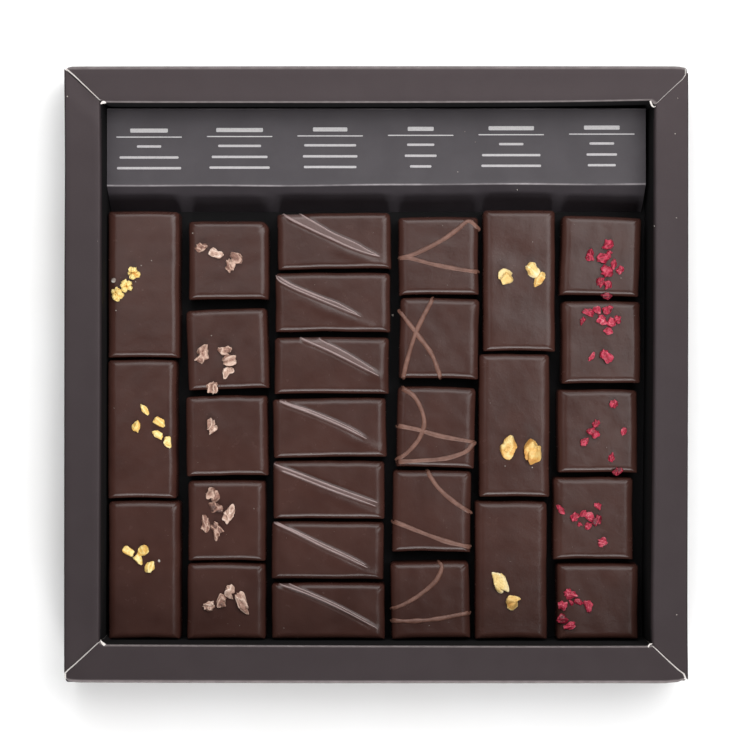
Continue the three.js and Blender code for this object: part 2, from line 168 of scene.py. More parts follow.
# The crumbs on each praline: east, north, east-west width, north-south length and turn; 0 means any turn
CRUMBS = {
    "sesame": [
        [(-2.9, 3.5, 4, 4, 0), (-5.2, -0.4, 4, 4.2, 0), (-8, -3, 4.2, 4.6, 0)],
        [(0.85, 6.2, 1.9, 4.2, 32), (-1.75, 0.9, 2.8, 3.9, 0), (5.55, 2.3, 2.6, 4.2, 60),
         (4.95, -1.5, 2.3, 3.9, 55), (8.05, -4, 2.6, 3.9, 0)],
        [(-4.75, 6, 2.6, 4, 50), (-0.25, 6.3, 3.7, 3.6, 0), (-1.65, 3.4, 2.6, 3.8, 30),
         (1.85, 1.2, 3, 4.2, -35)],
    ],
    "nib": [
        [(-8.4, 3.95, 4.2, 3.2, 10), (-3.8, 2.25, 4.8, 3, -12), (2.4, 0.75, 3.6, 4.8, 40),
         (0.5, -1.55, 3.5, 4.6, 10)],
        [(-7.55, -1.4, 4.2, 6.5, -15), (-0.85, -0.3, 4.5, 3.2, -8), (0.75, -3.5, 4.6, 4, 0),
         (0.25, -7, 4, 3.6, 0), (-4.75, -11.8, 3.8, 4, 0)],
        [(-4.55, 2.95, 3.8, 5.4, -15)],
        [(-3.95, 8.1, 5, 4.6, 0), (-3.25, 4.4, 4, 4.3, 0), (-6.45, -0.5, 2.9, 6, -8),
         (0.75, 2.4, 3.4, 6.6, -25), (-2.75, -2.8, 3.7, 6, 20)],
        [(1.25, 3, 3.8, 4.8, 0), (-1.35, 0.3, 3.2, 4.6, -10), (-5.25, -1.4, 3.9, 3.2, 0),
         (5.25, -0.5, 3.6, 7.8, 28)],
    ],
    "almond": [
        [(-4.25, 1.2, 4.9, 5.1, 0), (4.05, 3.3, 3.8, 5.2, 30), (6.05, 0.4, 2.9, 5.4, -42)],
        [(-1.9, -6.75, 5.4, 7.6, 10), (5.6, -8.25, 6.3, 7.6, 0)],
        [(-3.5, -3.45, 4.3, 7.6, 25), (0.3, -9.85, 4.4, 4.8, -15)],
    ],
    "berry": [
        [(1.95, 3.7, 4, 3.4, 0), (-3.15, 0.3, 3, 4, 0), (0.55, -0.6, 4, 3.4, 0),
         (3.95, -2.4, 2.3, 3.4, -20), (1.75, -4.5, 4, 4, 0), (5.75, -4.2, 2.8, 2.9, 0),
         (-0.35, -8, 2.6, 3.4, 0), (1.95, -8.9, 2.8, 3, 0), (1.75, -12.1, 3.4, 2.8, 0),
         (2.55, 0.6, 1.9, 2.5, 0)],
        [(-4.2, 9.3, 4, 2.5, -8), (-1.6, 9.9, 2.6, 2.8, 0), (1.9, 10, 3.7, 3.1, 0),
         (-0.1, 6.9, 3.4, 3.4, 0), (3.1, 6.1, 3.1, 3.1, 0), (4.9, 7.1, 2.5, 2.6, 0),
         (2, 3.5, 3.2, 2.4, 0), (-3, -4.5, 1.6, 3.4, -35), (1.4, -4.4, 4.6, 4.2, 0),
         (-5.8, 6.6, 1.9, 2.8, 0)],
        [(4.8, 8.55, 2.8, 2.8, 0), (-0.6, 2.45, 2.6, 2.6, 0), (-1.6, -0.35, 4.4, 3.4, 0),
         (-4.1, -3.25, 3.4, 2.4, 0), (4.1, -7.95, 2.3, 3.2, 0), (6.1, -12.35, 3.8, 2.6, 0),
         (7.9, -0.05, 1.9, 2.8, 0)],
        [(-10.2, 2.9, 1.9, 3.8, 35), (1.3, 3.9, 2.4, 2.4, 0), (-5.8, 0.7, 3.1, 3.1, 0),
         (-1.1, 0.7, 3.1, 3.1, 0), (1, -0.5, 3.1, 3.8, 0), (-1.6, -2.1, 2.5, 2.3, 0),
         (2.8, -7.2, 3.1, 3.3, 0), (-3.1, 1.7, 2.2, 2.2, 0), (-4.2, -1.6, 1.7, 1.7, 0)],
        [(-8.6, 2.75, 4, 3.6, 0), (-10.9, -1.05, 3.1, 3.3, 0), (-11.2, -5.15, 3.8, 3.4, 0),
         (-8.9, -7.25, 4, 2.6, 0), (-5.9, 0.15, 3.2, 1.9, 0), (-2.9, -1.45, 3, 4.3, 0),
         (-8.3, -0.15, 1.7, 1.7, 0)],
    ],
}

# How much of a crumb's height is sunk in the coating, and its height as a share of its lesser width
SUNK = 0.3
TALL = 0.75

# Crumbs that are darker (towards 0) or paler (towards 1) than their neighbours: kind, praline, crumb
SHADES = {
    ("nib", 3, 1): 0.1, ("nib", 3, 4): 0.2, ("nib", 4, 0): 0.85, ("nib", 4, 1): 0.3, ("berry", 0, 8): 0.1,
    ("berry", 2, 5): 0.1, ("berry", 3, 4): 0.0, ("berry", 4, 2): 0.2, ("almond", 1, 0): 0.3,
    ("almond", 1, 1): 0.05, ("almond", 2, 0): 0.95, ("almond", 2, 1): 0.35, ("almond", 0, 0): 0.6,
    ("almond", 0, 1): 0.8, ("almond", 0, 2): 0.3,
}

# What a fork has drawn up on the ridged pralines: two thin crests with their widths in millimetres, a plateau
# between them, a groove beside the first, and a soft drape further off
RIDGES = [
    {"crests": [([(-16.13, 9), (-14.34, 7.76), (-12.1, 6.35), (-8.3, 4.4), (-4.4, 2.4), (-0.6, 0.6),
                  (3.25, -1.3), (7.1, -2.9), (10.9, -4.15), (14.23, -5)], 0.69),
                ([(-10.8, 8.8), (-8.8, 7.52), (-4.4, 4.8), (-0.6, 2.5), (3.25, 0.7), (7.1, -1.1),
                  (10.4, -3.1), (13.6, -4.7)], 0.53)],
     "drape": [(-2, -1.4), (4, -3.8), (10, -6.2), (14.01, -7.76)]},
    {"crests": [([(-17.68, 8.56), (-16.54, 6.75), (-13, 4.75), (-7.9, 2.45), (-2.7, 0.25), (1.1, -1.35),
                  (6.2, -3.45), (8.8, -4.55)], 0.53),
                ([(-17.2, 8.21), (-13, 5.55), (-7.9, 3.25), (-2.7, 1.15), (1.1, -0.25), (4.9, -2.25),
                  (7.6, -3.75)], 0.58)],
     "drape": [(-11.7, 1.15), (-1.5, -2.95), (3.7, -4.75), (7.5, -6.25), (11.3, -7.91)]},
    {"crests": [([(-9.6, 8.7), (-8.9, 8.1), (-0.4, 4.3), (9.4, -0.6), (14.64, -3.2)], 0.58),
                ([(-3.8, 8.6), (-3.2, 7.7), (4.5, 3.8), (13.3, -1.5)], 0.48)],
     "drape": [(11, -2.3), (14.52, -3.3)]},
    {"crests": [([(-15.16, 8.8), (-14.29, 8.1), (-4.85, 4.3), (5.05, -0.2), (11.45, -3.6)], 0.66),
                ([(-13.65, 8.7), (-12.65, 7.8), (-4.45, 4.8), (5.25, 0.4), (10.35, -2.5)], 0.45)],
     "drape": [(1.95, -1.3), (7.95, -4.1), (15.32, -7.21)]},
    {"crests": [([(-16.87, 8.34), (-16.22, 7.87), (-9.4, 5.2), (0.5, 1.3), (10.3, -2.2), (15.24, -3.9)],
                 0.55),
                ([(-14.58, 6.1), (-9, 3.9), (0.5, 0.1), (10.3, -3.4), (14.69, -5)], 0.53)],
     "drape": [(-8, 1.3), (2, -2.6), (9, -5.3), (14.69, -7.99)]},
    {"crests": [([(-16.73, 8.81), (-15.84, 8.24), (-11.6, 6.3), (-1.7, 1.3), (5.7, -2), (12.5, -5.2)],
                 0.60),
                ([(-16.06, 8.81), (-14.72, 8.15), (-9.6, 5.8), (-1.4, 1.9), (5.9, -1.4), (11.8, -4.3)],
                 0.50)],
     "drape": [(0, -1.7), (6, -4.3), (13.6, -7.74)]},
    {"crests": [([(-15.18, 8.57), (-14.26, 8.15), (-6.75, 5.45), (3.05, 1.05), (12.35, -3.75),
                  (15.54, -5.45)], 0.58),
                ([(-12.35, 8.48), (-11.15, 8.07), (-5.55, 5.65), (3.25, 1.65), (11.95, -2.95)], 0.48)],
     "drape": [(7.85, -3.25), (14.98, -6.65)]},
]
CREST_TALL = 0.20 * MM
PLATEAU = 0.22 * MM
PLATEAU_SKIRT = 0.55 * MM
GROOVE = 0.07 * MM
GROOVE_AWAY = 0.75 * MM
GROOVE_WIDTH = 0.4 * MM
DRAPE_HEIGHT = 0.15 * MM
DRAPE_WIDTH = 1.6 * MM

# The strings of milk chocolate piped over the square pralines, with their width and height and how
# far out they hang over the sides, and how much further down than out
STRINGS = [
    [[(-12.95, -0.8), (-12.15, -0.7), (-6.75, 0.8), (0.65, 4.5), (5.55, 7.9), (9.15, 10.7), (11.82, 8.9),
      (12.95, 7.7)],
     [(-12.95, -0.9), (-12.15, -0.7), (-9.05, -0.7), (-1.85, -2.7), (5.55, -4.1), (11.95, -4.9),
      (12.95, -5.1)]],
    [[(-1.55, 13.15), (-2.05, 12.05), (-6.85, 2.75), (-9.75, -6.15), (-11.1, -11.93), (-11.31, -12.95)],
     [(-12.75, 9.25), (-11.83, 7.95), (-6.85, 1.25), (-2.35, -5.05), (0.35, -12.06), (0.75, -13.15)]],
    [[(-10.82, 12.95), (-10.18, 11.95), (-6.8, 9.55), (-4.4, 5.15), (-3.7, 0.75), (-5.3, -3.65),
      (-8.7, -7.65), (-11.64, -9.74), (-12.7, -10.39)],
     [(-12.8, 0.75), (-11.73, 0.55), (-5.8, -0.75), (1.5, -2.85), (11.4, -4.45), (12.7, -4.55)],
     [(12.7, -4.25), (11.4, -5.05), (8.9, -7.65), (2.6, -9.74), (-5.8, -10.39), (-11.46, -10.52),
      (-12.7, -10.52)]],
    [[(-1.65, 13.2), (-1.35, 12.23), (1.85, 7.4), (6.25, 3.4), (11.69, -0.2), (12.75, -0.9)],
     [(-12.85, -2.6), (-11.76, -3), (-6.05, -5.4), (0.25, -7.9), (5.25, -9.57), (10.87, -10.76),
      (12.75, -11.02)]],
    [[(2.05, 12.7), (2.45, 11.62), (3.45, 10.34), (1.85, 6.3), (-2.65, 2.2), (-7.55, -0.8),
      (-11.84, -2.5), (-12.85, -2.9)],
     [(-12.85, -6), (-11.84, -6.1), (-5.55, -6.4), (2.35, -5.7), (11.89, -3.7), (12.95, -3.4)]],
]
STRING_WIDE = 1.4 * MM
STRING_TALL = 0.30 * MM
STRING_DRAPE = 0.9 * MM
HANGING = 2.2

# Linear colours, red, green and blue
CARD_BLACK = (0.0104, 0.0070, 0.0079)
CARD_CHARCOAL = (0.0130, 0.0092, 0.0102)
CARD_TINGE = (1.0, 0.84, 0.87)
# The two fold colours below, for the box and the legend card, are partly worn board and partly a painted
# highlight where the folds catch the light.
CARD_WEAR_AND_HIGHLIGHT = (0.17, 0.150, 0.148)
# The colour below is painted shade: a duller black for the walls inside the opening and the tray floor, where
# shade falls.
PAINTED_SHADE_BLACK = (0.0085, 0.0080, 0.0086)
LEGEND_BLACK = (0.0370, 0.0312, 0.0362)
LEGEND_CHARCOAL = (0.0435, 0.0372, 0.0426)
LEGEND_WEAR_AND_HIGHLIGHT = (0.30, 0.275, 0.285)
RAW_BOARD = (0.78, 0.74, 0.71)
INK = (0.46, 0.445, 0.45)
INK_HEADING = (0.42, 0.405, 0.41)
INK_SOFT = (0.38, 0.362, 0.37)
COUVERTURE_DARK = (0.0395, 0.0158, 0.0122)
COUVERTURE_WARM = (0.0495, 0.0206, 0.0160)
# The flank colour below is painted bounce light: a redder glow laid down the sides of every praline.
COUVERTURE_FLANK_BOUNCE = (0.062, 0.0196, 0.0142)
# The crest colour below is a painted highlight: the fork's crests, and the plateau a little, are tinted pale.
COUVERTURE_CREST_HIGHLIGHT = (0.270, 0.198, 0.190)
MILK_DARK = (0.112, 0.049, 0.034)
MILK_LIGHT = (0.168, 0.082, 0.060)


# Shader nodes written as sums and products


class Wire:
    """An output of a finish's nodes that can stand in sums and products."""

    def __init__(self, finish, socket):
        self.finish = finish
        self.socket = socket

    def maths(self, operation, *values):
        return self.finish.node("ShaderNodeMath", {"operation": operation}, dict(enumerate(values)))

    def __add__(self, other):
        return self.maths("ADD", self, other)

    __radd__ = __add__

    def __sub__(self, other):
        return self.maths("SUBTRACT", self, other)

    def __rsub__(self, other):
        return self.maths("SUBTRACT", other, self)

    def __mul__(self, other):
        return self.maths("MULTIPLY", self, other)

    __rmul__ = __mul__

    def rise(self, low, high):
        """0 below low, 1 above high, and a smooth rise between."""
        values = {"Value": self, "From Min": low, "From Max": high}
        return self.finish.node("ShaderNodeMapRange", {"interpolation_type": "SMOOTHSTEP"}, values)


class Finish:
    """A material and the nodes that feed its shader."""

    def __init__(self, name, plain):
        self.material = bpy.data.materials.new(name)
        self.material.use_nodes = True
        self.tree = self.material.node_tree
        self.shader = self.tree.nodes["Principled BSDF"]
        for socket, value in plain.items():
            self.shader.inputs[socket].default_value = value
        self.place = self.node("ShaderNodeTexCoord", {}, {}, "Object")

    def node(self, kind, settings, values, output=0):
        """Adds a node: its type, its settings, its sockets' values or links, and the output that is used."""
        made = self.tree.nodes.new(kind)
        for setting, value in settings.items():
            if setting == "stops":
                set_stops(made.color_ramp, value)
            else:
                setattr(made, setting, value)
        for socket, value in values.items():
            self.join(value, made.inputs[socket])
        return Wire(self, made.outputs[output])

    def join(self, value, socket):
        if isinstance(value, Wire):
            self.tree.links.new(value.socket, socket)
        else:
            socket.default_value = value

    def feed(self, socket, value):
        self.join(value, self.shader.inputs[socket])

    def noise(self, size, detail=2.0, roughness=0.5):
        values = {"Vector": self.place, "Scale": 1 / size, "Detail": detail, "Roughness": roughness}
        return self.node("ShaderNodeTexNoise", {}, values)

    def strokes(self):
        """Fine strokes across a ridge, as a fork leaves them."""
        turning = {"Vector": self.place, "Rotation": (0, 0, math.radians(24)), "Scale": (2.6, 0.6, 1)}
        turned_place = self.node("ShaderNodeMapping", {"vector_type": "POINT"}, turning)
        values = {"Vector": turned_place, "Scale": 1 / (0.9 * MM), "Detail": 1.0}
        return self.node("ShaderNodeTexNoise", {}, values)

    def mark(self, name):
        """A value that the mesh carries at each of its points."""
        return self.node("ShaderNodeAttribute", {"attribute_name": name}, {}, "Fac")

    def blend(self, share, under, over):
        """A colour over another, as far as share says."""
        sockets = {0: share, 6: tint(under), 7: tint(over)}
        return self.node("ShaderNodeMix", {"data_type": "RGBA"}, sockets, 2)

    def ramp(self, value, stops):
        """A run of colours, each with the value at which it is reached."""
        return self.node("ShaderNodeValToRGB", {"stops": stops}, {"Fac": value})

    def relief(self, height, depth):
        """Fine relief that the light sees but the mesh doesn't have."""
        self.feed("Normal", self.node("ShaderNodeBump", {}, {"Height": height, "Distance": depth}))


def set_stops(ramp, stops):
    for index, (place, colour) in enumerate(stops):
        stop = ramp.elements[index] if index < 2 else ramp.elements.new(place)
        stop.position = place
        stop.color = tint(colour)


def tint(colour):
    """A colour with its opacity; a link stays as it is."""
    return colour if isinstance(colour, Wire) else (*colour, 1.0)


# Finishes


def black_card(name, gloss, tinge, dark, light, folded):
    """Black board: a soft mottle and fine fibres, paler along its folds, which is partly wear and partly a
    painted highlight.
    """
    finish = Finish(name, {"Specular IOR Level": gloss, "Specular Tint": tint(tinge)})
    fibres = finish.noise(0.5 * MM, detail=4, roughness=0.65)
    mottle = finish.noise(9 * MM, detail=3)
    ground = finish.blend(mottle.rise(0.3, 0.7), dark, light)
    worn = finish.mark("worn") * (0.7 + finish.noise(2.5 * MM, detail=3).rise(0.3, 0.7) * 0.3)
    finish.feed("Base Color", finish.blend(worn, ground, folded))
    finish.feed("Roughness", 0.46 + fibres * 0.16)
    finish.relief(fibres * 0.7 + finish.noise(0.16 * MM, detail=2) * 0.3, 0.03 * MM)
    return finish.material


def box_card():
    return black_card("black_card_box", 0.5, CARD_TINGE, CARD_BLACK, CARD_CHARCOAL, CARD_WEAR_AND_HIGHLIGHT)


def legend_card_paper():
    return black_card("black_card_legend", 0.35, (1, 1, 1), LEGEND_BLACK, LEGEND_CHARCOAL, LEGEND_WEAR_AND_HIGHLIGHT)


def painted_shade_lining():
    """Painted shade: a dull near-black for the inner walls and the tray floor, where shade falls."""
    finish = Finish("painted_shade_black", {"Specular IOR Level": 0.12})
    fibres = finish.noise(0.5 * MM, detail=4, roughness=0.65)
    finish.feed("Base Color", finish.blend(fibres, tuple(0.8 * c for c in PAINTED_SHADE_BLACK), PAINTED_SHADE_BLACK))
    finish.feed("Roughness", 0.75 + fibres * 0.2)
    finish.relief(fibres, 0.03 * MM)
    return finish.material


def raw_board():
    """The pale cut edge of the board, with its fibres."""
    finish = Finish("raw_board_edge", {"Roughness": 0.9, "Specular IOR Level": 0.3})
    fibres = finish.noise(0.25 * MM, detail=4, roughness=0.7)
    finish.feed("Base Color", finish.blend(fibres.rise(0.25, 0.65), (0.50, 0.46, 0.43), RAW_BOARD))
    finish.relief(fibres, 0.05 * MM)
    return finish.material


def printed_ink(name, colour):
    """A thin layer of pale ink that the paper shows through a little."""
    finish = Finish(name, {"Roughness": 0.55})
    cover = finish.noise(0.4 * MM, detail=3).rise(0.2, 0.55)
    finish.feed("Base Color", finish.blend(cover, tuple(0.75 * c for c in colour), colour))
    finish.relief(finish.noise(0.3 * MM, detail=3), 0.01 * MM)
    return finish.material


def couverture(name):
    """Dark enrobing chocolate: satin, uneven in tone and gloss, with faint pits. Its sides take painted
    bounce light, a redder glow, and its crests a painted highlight, a pale tint.
    """
    finish = Finish(name, {"Specular IOR Level": 0.30})
    drift = finish.noise(11 * MM, detail=2)
    cloud = finish.noise(3.5 * MM, detail=3)
    tone = (drift * 0.7 + cloud * 0.3).rise(0.3, 0.7)
    body = finish.blend(tone, COUVERTURE_DARK, COUVERTURE_WARM)
    # Painted bounce light: the sides are redder.
    side = finish.blend(finish.mark("flank"), body, COUVERTURE_FLANK_BOUNCE)
    # Painted highlight: the crests, and the plateau a little, are tinted pale.
    crest = finish.mark("crest")
    finish.feed("Base Color", finish.blend(crest, side, COUVERTURE_CREST_HIGHLIGHT))
    finish.feed("Roughness", 0.22 + cloud * 0.08 - crest * 0.04)
    ripples = finish.noise(2.6 * MM, detail=2) * 0.75 + finish.noise(0.6 * MM, detail=3) * 0.25
    finish.relief(ripples + finish.mark("plateau") * finish.strokes() * 0.8, 0.06 * MM)
    return finish.material


def milk_couverture():
    """Milk chocolate, piped thin."""
    finish = Finish("milk_string_chocolate", {"Specular IOR Level": 0.38})
    cloud = finish.noise(2 * MM, detail=3)
    finish.feed("Base Color", finish.blend(cloud.rise(0.3, 0.7), MILK_DARK, MILK_LIGHT))
    finish.feed("Roughness", 0.42 + cloud * 0.12)
    finish.relief(finish.noise(0.7 * MM, detail=3), 0.06 * MM)
    return finish.material


def crumb_finish(name, stops, speck, gloss, grain):
    """A crumb's colours from its hollows to its rims, lighter or darker from crumb to crumb. The darker
    hollows and creases are partly the crumb's own colour and partly painted shade.
    """
    finish = Finish(name, {"Specular IOR Level": 0.4})
    fine = finish.noise(grain, detail=4, roughness=0.6)
    coarse = finish.noise(3 * grain, detail=2)
    uneven = (fine - 0.5) * 0.45 + (coarse - 0.5) * 0.5
    level = finish.mark("ridge") * 0.5 + finish.mark("shade") * 0.5 + uneven
    specks = finish.noise(0.6 * grain, detail=1).rise(0.62, 0.72)
    finish.feed("Base Color", finish.blend(specks * 0.5, finish.ramp(level, stops), speck))
    finish.feed("Roughness", gloss + fine * 0.2)
    finish.relief(fine * 0.7 + coarse * 0.3, 0.12 * MM)
    return finish.material


def golden_seed():
    stops = [(0.10, (0.48, 0.19, 0.030)), (0.40, (0.70, 0.42, 0.10)), (0.70, (0.80, 0.61, 0.22)),
             (1.0, (0.84, 0.73, 0.38))]
    return crumb_finish("golden_seed", stops, (0.80, 0.66, 0.33), 0.4, 0.5 * MM)


def cocoa_nib():
    stops = [(0.10, (0.060, 0.032, 0.028)), (0.34, (0.24, 0.120, 0.088)), (0.66, (0.52, 0.350, 0.275)),
             (1.0, (0.76, 0.60, 0.51))]
    return crumb_finish("cocoa_nib", stops, (0.66, 0.48, 0.37), 0.5, 0.5 * MM)


def almond_nut():
    stops = [(0.05, (0.56, 0.25, 0.055)), (0.35, (0.68, 0.40, 0.115)), (0.65, (0.77, 0.58, 0.24)),
             (1.0, (0.82, 0.72, 0.47))]
    return crumb_finish("almond_nut", stops, (0.66, 0.36, 0.10), 0.45, 0.7 * MM)


def dried_berry():
    stops = [(0.08, (0.070, 0.003, 0.010)), (0.42, (0.26, 0.008, 0.027)), (0.74, (0.46, 0.028, 0.068)),
             (1.0, (0.64, 0.22, 0.25))]
    return crumb_finish("dried_berry", stops, (0.60, 0.26, 0.27), 0.36, 0.4 * MM)


def pale_dust():
    finish = Finish("pale_dust", {"Roughness": 0.8})
    tone = finish.noise(2 * MM).rise(0.35, 0.65)
    finish.feed("Base Color", finish.blend(tone, (0.22, 0.18, 0.16), (0.50, 0.47, 0.42)))
    return finish.material


def white_table():
    finish = Finish("white_table", {"Roughness": 0.7})
    tone = finish.noise(40 * MM).rise(0.2, 0.8)
    finish.feed("Base Color", finish.blend(tone, (0.90, 0.895, 0.89), (0.93, 0.93, 0.93)))
    return finish.material


# Meshes


def add_piece(name, points, faces, finishes, face_finish=None, marks=None, sharp=None):
    """A mesh piece that rides on the root. marks are values at its points, sharp the angle of hard edges."""
    mesh = bpy.data.meshes.new(name)
    mesh.from_pydata(np.asarray(points).tolist(), [], faces)
    for finish in finishes:
        mesh.materials.append(finish)
    mesh.polygons.foreach_set("use_smooth", [True] * len(mesh.polygons))
    if face_finish is not None:
        mesh.polygons.foreach_set("material_index", face_finish)
    for mark, values in (marks or {}).items():
        mesh.attributes.new(mark, "FLOAT", "POINT").data.foreach_set("value", np.asarray(values, np.float32))
    if sharp is not None:
        mesh.set_sharp_from_angle(angle=math.radians(sharp))
    mesh.update()
    piece = bpy.data.objects.new(name, mesh)
    bpy.context.scene.collection.objects.link(piece)
    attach(piece, "root")
    return piece


def grid_faces(index):
    """Quads over a grid of point numbers, facing where rows to columns turn anticlockwise."""
    corners = np.stack([index[:-1, :-1], index[1:, :-1], index[1:, 1:], index[:-1, 1:]], axis=-1)
    return corners.reshape(-1, 4).tolist()


def strip_faces(near, far):
    """Quads between two rows of point numbers."""
    return np.stack([near[:-1], near[1:], far[1:], far[:-1]], axis=-1).tolist()


def closed_sheet(outside, inside):
    """Points and faces of a sheet between two grids, and which of its faces are on the two cut ends."""
    front = np.arange(outside.shape[0] * outside.shape[1]).reshape(outside.shape[:2])
    back = front + front.size
    surfaces = grid_faces(front) + grid_faces(back[:, ::-1])
    surfaces += strip_faces(front[0], back[0]) + strip_faces(front[-1, ::-1], back[-1, ::-1])
    ends = strip_faces(front[::-1, 0], back[::-1, 0]) + strip_faces(front[:, -1], back[:, -1])
    points = np.concatenate([outside.reshape(-1, 3), inside.reshape(-1, 3)])
    return points, surfaces + ends, [0] * len(surfaces) + [1] * len(ends)


def folded_path(corners, radii, spacing, arc_steps=7):
    """Points along a folded line, the normals on its right, and how much each is on a fold, from 0 to 1."""
    points, normals, folds = [], [], []
    start = Vector(corners[0])
    for number, corner in enumerate(corners[1:]):
        corner = Vector(corner)
        heading = (corner - start).normalized()
        right = Vector((heading.y, -heading.x))
        end, turn = corner, 0.0
        if number < len(radii):
            onward = (Vector(corners[number + 2]) - corner).normalized()
            turn = math.atan2(heading.cross(onward), heading.dot(onward))
            end = corner - heading * radii[number] * abs(math.tan(turn / 2))
        count = max(1, round((end - start).length / spacing))
        for step in range(count if turn else count + 1):
            points.append(start.lerp(end, step / count))
            normals.append(right)
            folds.append(0.0)
        if turn:
            side = math.copysign(radii[number], turn)
            centre = end - right * side
            for step in range(arc_steps + 1):
                normal = right.copy()
                normal.rotate(Matrix.Rotation(turn * step / arc_steps, 2))
                points.append(centre + normal * side)
                normals.append(normal)
                folds.append(math.sin(math.pi * step / arc_steps) ** 0.5)
            start = points.pop()
            normals.pop()
            folds.pop()
    return np.array(points), np.array(normals), np.array(folds)


def waves(draws, count, shortest, longest):
    """A smooth uneven surface between about -1 and 1: waves of random length and heading, laid together."""
    parts = []
    for _ in range(count):
        heading = draws.uniform(0, 2 * math.pi)
        pitch = 2 * math.pi / draws.uniform(shortest, longest)
        parts.append((pitch * math.cos(heading), pitch * math.sin(heading), draws.uniform(0, 2 * math.pi)))

    def height(x, y=0.0):
        return sum(np.sin(a * x + b * y + phase) for a, b, phase in parts) / math.sqrt(count)

    return height


def smooth_step(value):
    """0 below 0, 1 above 1, and a smooth rise between."""
    share = np.clip(value, 0, 1)
    return share * share * (3 - 2 * share)


def wander(places, along):
    """How far an edge wanders at places along its side, smoothly between the marked ones."""
    marks = smooth_line(places, 4.0)
    return np.interp(along / MM, marks[:, 0], marks[:, 1]) * MM


def outer_wander(side, along):
    """How far the outer edge of a side lies from straight: never outside the box's own size."""
    return np.minimum(wander(OUTER_WANDER[side], along), 0.0)


def smooth_line(places, step):
    """Points a step apart along a smooth curve through the places."""
    places = np.array(places, float)
    padded = np.concatenate([[2 * places[0] - places[1]], places, [2 * places[-1] - places[-2]]])
    curve = []
    for before, here, there, after in zip(padded, padded[1:], padded[2:], padded[3:]):
        count = max(1, round(float(np.linalg.norm(there - here)) / step))
        share = (np.arange(count) / count)[:, None]
        curve.append(0.5 * (2 * here + (there - before) * share
                            + (2 * before - 5 * here + 4 * there - after) * share**2
                            + (3 * here - before - 3 * there + after) * share**3))
    return np.concatenate([*curve, places[-1:]])


# The box


def rim_path(side):
    """The line of a side of the box, from under its foot, over the rim and down to the floor inside."""
    width = abs(OUTER[side] - INNER[side])
    corners = [(width - LIP, 0.0), (width, 0.0), (width, RIM), (0.0, RIM), (0.0, FLOOR)]
    return folded_path(corners, [FOOT_FOLD, OUTER_FOLD[side], INNER_FOLD[side]], 1.5 * MM)


def side_places(side):
    """Places along a side as shares of its length, closer together near its ends."""
    along = 0.5 - 0.5 * np.cos(np.linspace(0, math.pi, SIDE_PLACES))
    return along[::-1] if side in ("south", "east") else along


def crossing_ends(side, share):
    """Where the rows of the front or back flap end in the west and east, and how far each is drawn in."""
    inner, outer = INNER[side], OUTER[side]
    row = inner + (outer - inner) * share
    ends = []
    for hand in ("west", "east"):
        mitre = MITRES[f"{side}_{hand}"]
        near = np.array(mitre["inner"]) * MM
        far = np.array(mitre["outer"]) * MM
        reach = (near[1] - inner) * np.clip(1 - share / TONGUE_SHARE, 0, 1)
        place = near[0] + (far[0] - near[0]) * (row + reach - near[1]) / (far[1] - near[1])
        stop = mitre["stop"] * MM
        place = np.maximum(place, stop) if hand == "west" else np.minimum(place, stop)
        ends.append((place, reach))
    return ends


def crossing_layer(side, depth, path, normals, bow, dent):
    """The grid of points at a depth in the board of the front or back side."""
    inner, outer = INNER[side], OUTER[side]
    outward = math.copysign(1, outer)
    along = side_places(side)
    width, height = (path - normals * depth).T
    share = width / abs(outer - inner)
    (west, west_reach), (east, east_reach) = crossing_ends(side, share)
    slope = CUT_SLOPE * depth / BOARD * (0.8 + 0.5 * share)
    west_slope, east_slope = (slope * MITRES[f"{side}_{hand}"]["raw"] for hand in ("west", "east"))
    x = (west - west_slope)[:, None] * (1 - along) + (east + east_slope)[:, None] * along
    torn_west = 1 - smooth_step((x - west[:, None]) / TEAR_RUN)
    torn_east = 1 - smooth_step((east[:, None] - x) / TEAR_RUN)
    y = (inner + outward * width)[:, None] + west_reach[:, None] * torn_west + east_reach[:, None] * torn_east
    top = smooth_step((height - RIM / 2) / (RIM / 2))[:, None]
    share = share[:, None]
    y = y + outward * (wander(INNER_WANDER[side], x) + BOW * bow(x)) * (1 - share)
    y = y + outward * outer_wander(side, x) * share**3 * (0.2 + 0.8 * top)
    y = y - outward * DENT * np.maximum(1 + dent(x, 0.0), 0) * share * (1 - top)
    crown = np.sin(np.pi * np.clip(share, 0, 1)) * top
    z = height[:, None] - crown * CROWN * (1 + 0.6 * bow(x + 0.3))
    return np.stack([x, y, z], axis=-1)


def crossing_flap(side, finishes, draws):
    """The front or back side of the box. Its top lies over the side flaps and shows its pale cut ends."""
    path, normals, folds = rim_path(side)
    bow = waves(draws, 3, 60 * MM, 140 * MM)
    dent = waves(draws, 3, 25 * MM, 60 * MM)
    grids = [crossing_layer(side, depth, path, normals, bow, dent) for depth in (0.0, BOARD)]
    points, faces, cut = closed_sheet(*grids)
    # The folds of the front and back flaps are painted pale, partly wear and partly a painted highlight; the
    # side flaps get none.
    worn = np.concatenate([np.repeat(folds**2, SIDE_PLACES)] * 2)
    finish = painted_shade_faces(side, points, faces, cut)
    return add_piece(f"{side}_wall", points, faces, finishes, finish, {"worn": worn}, HARD_EDGE)


def painted_shade_faces(side, points, faces, cut):
    """The finish of each face of a wall: 1 on its cut ends, 2 for the painted shade down inside the opening,
    and 0 elsewhere.
    """
    middles = points[np.array(faces)].mean(axis=1)
    sideways = middles[:, 1] if side in ("north", "south") else middles[:, 0]
    within = math.copysign(1, INNER[side]) * (INNER[side] - sideways) > -1.0 * MM
    painted_shade = within & (middles[:, 2] < RIM - PAINTED_SHADE_BELOW)
    return np.where(np.array(cut) == 1, 1, np.where(painted_shade, 2, 0)).tolist()


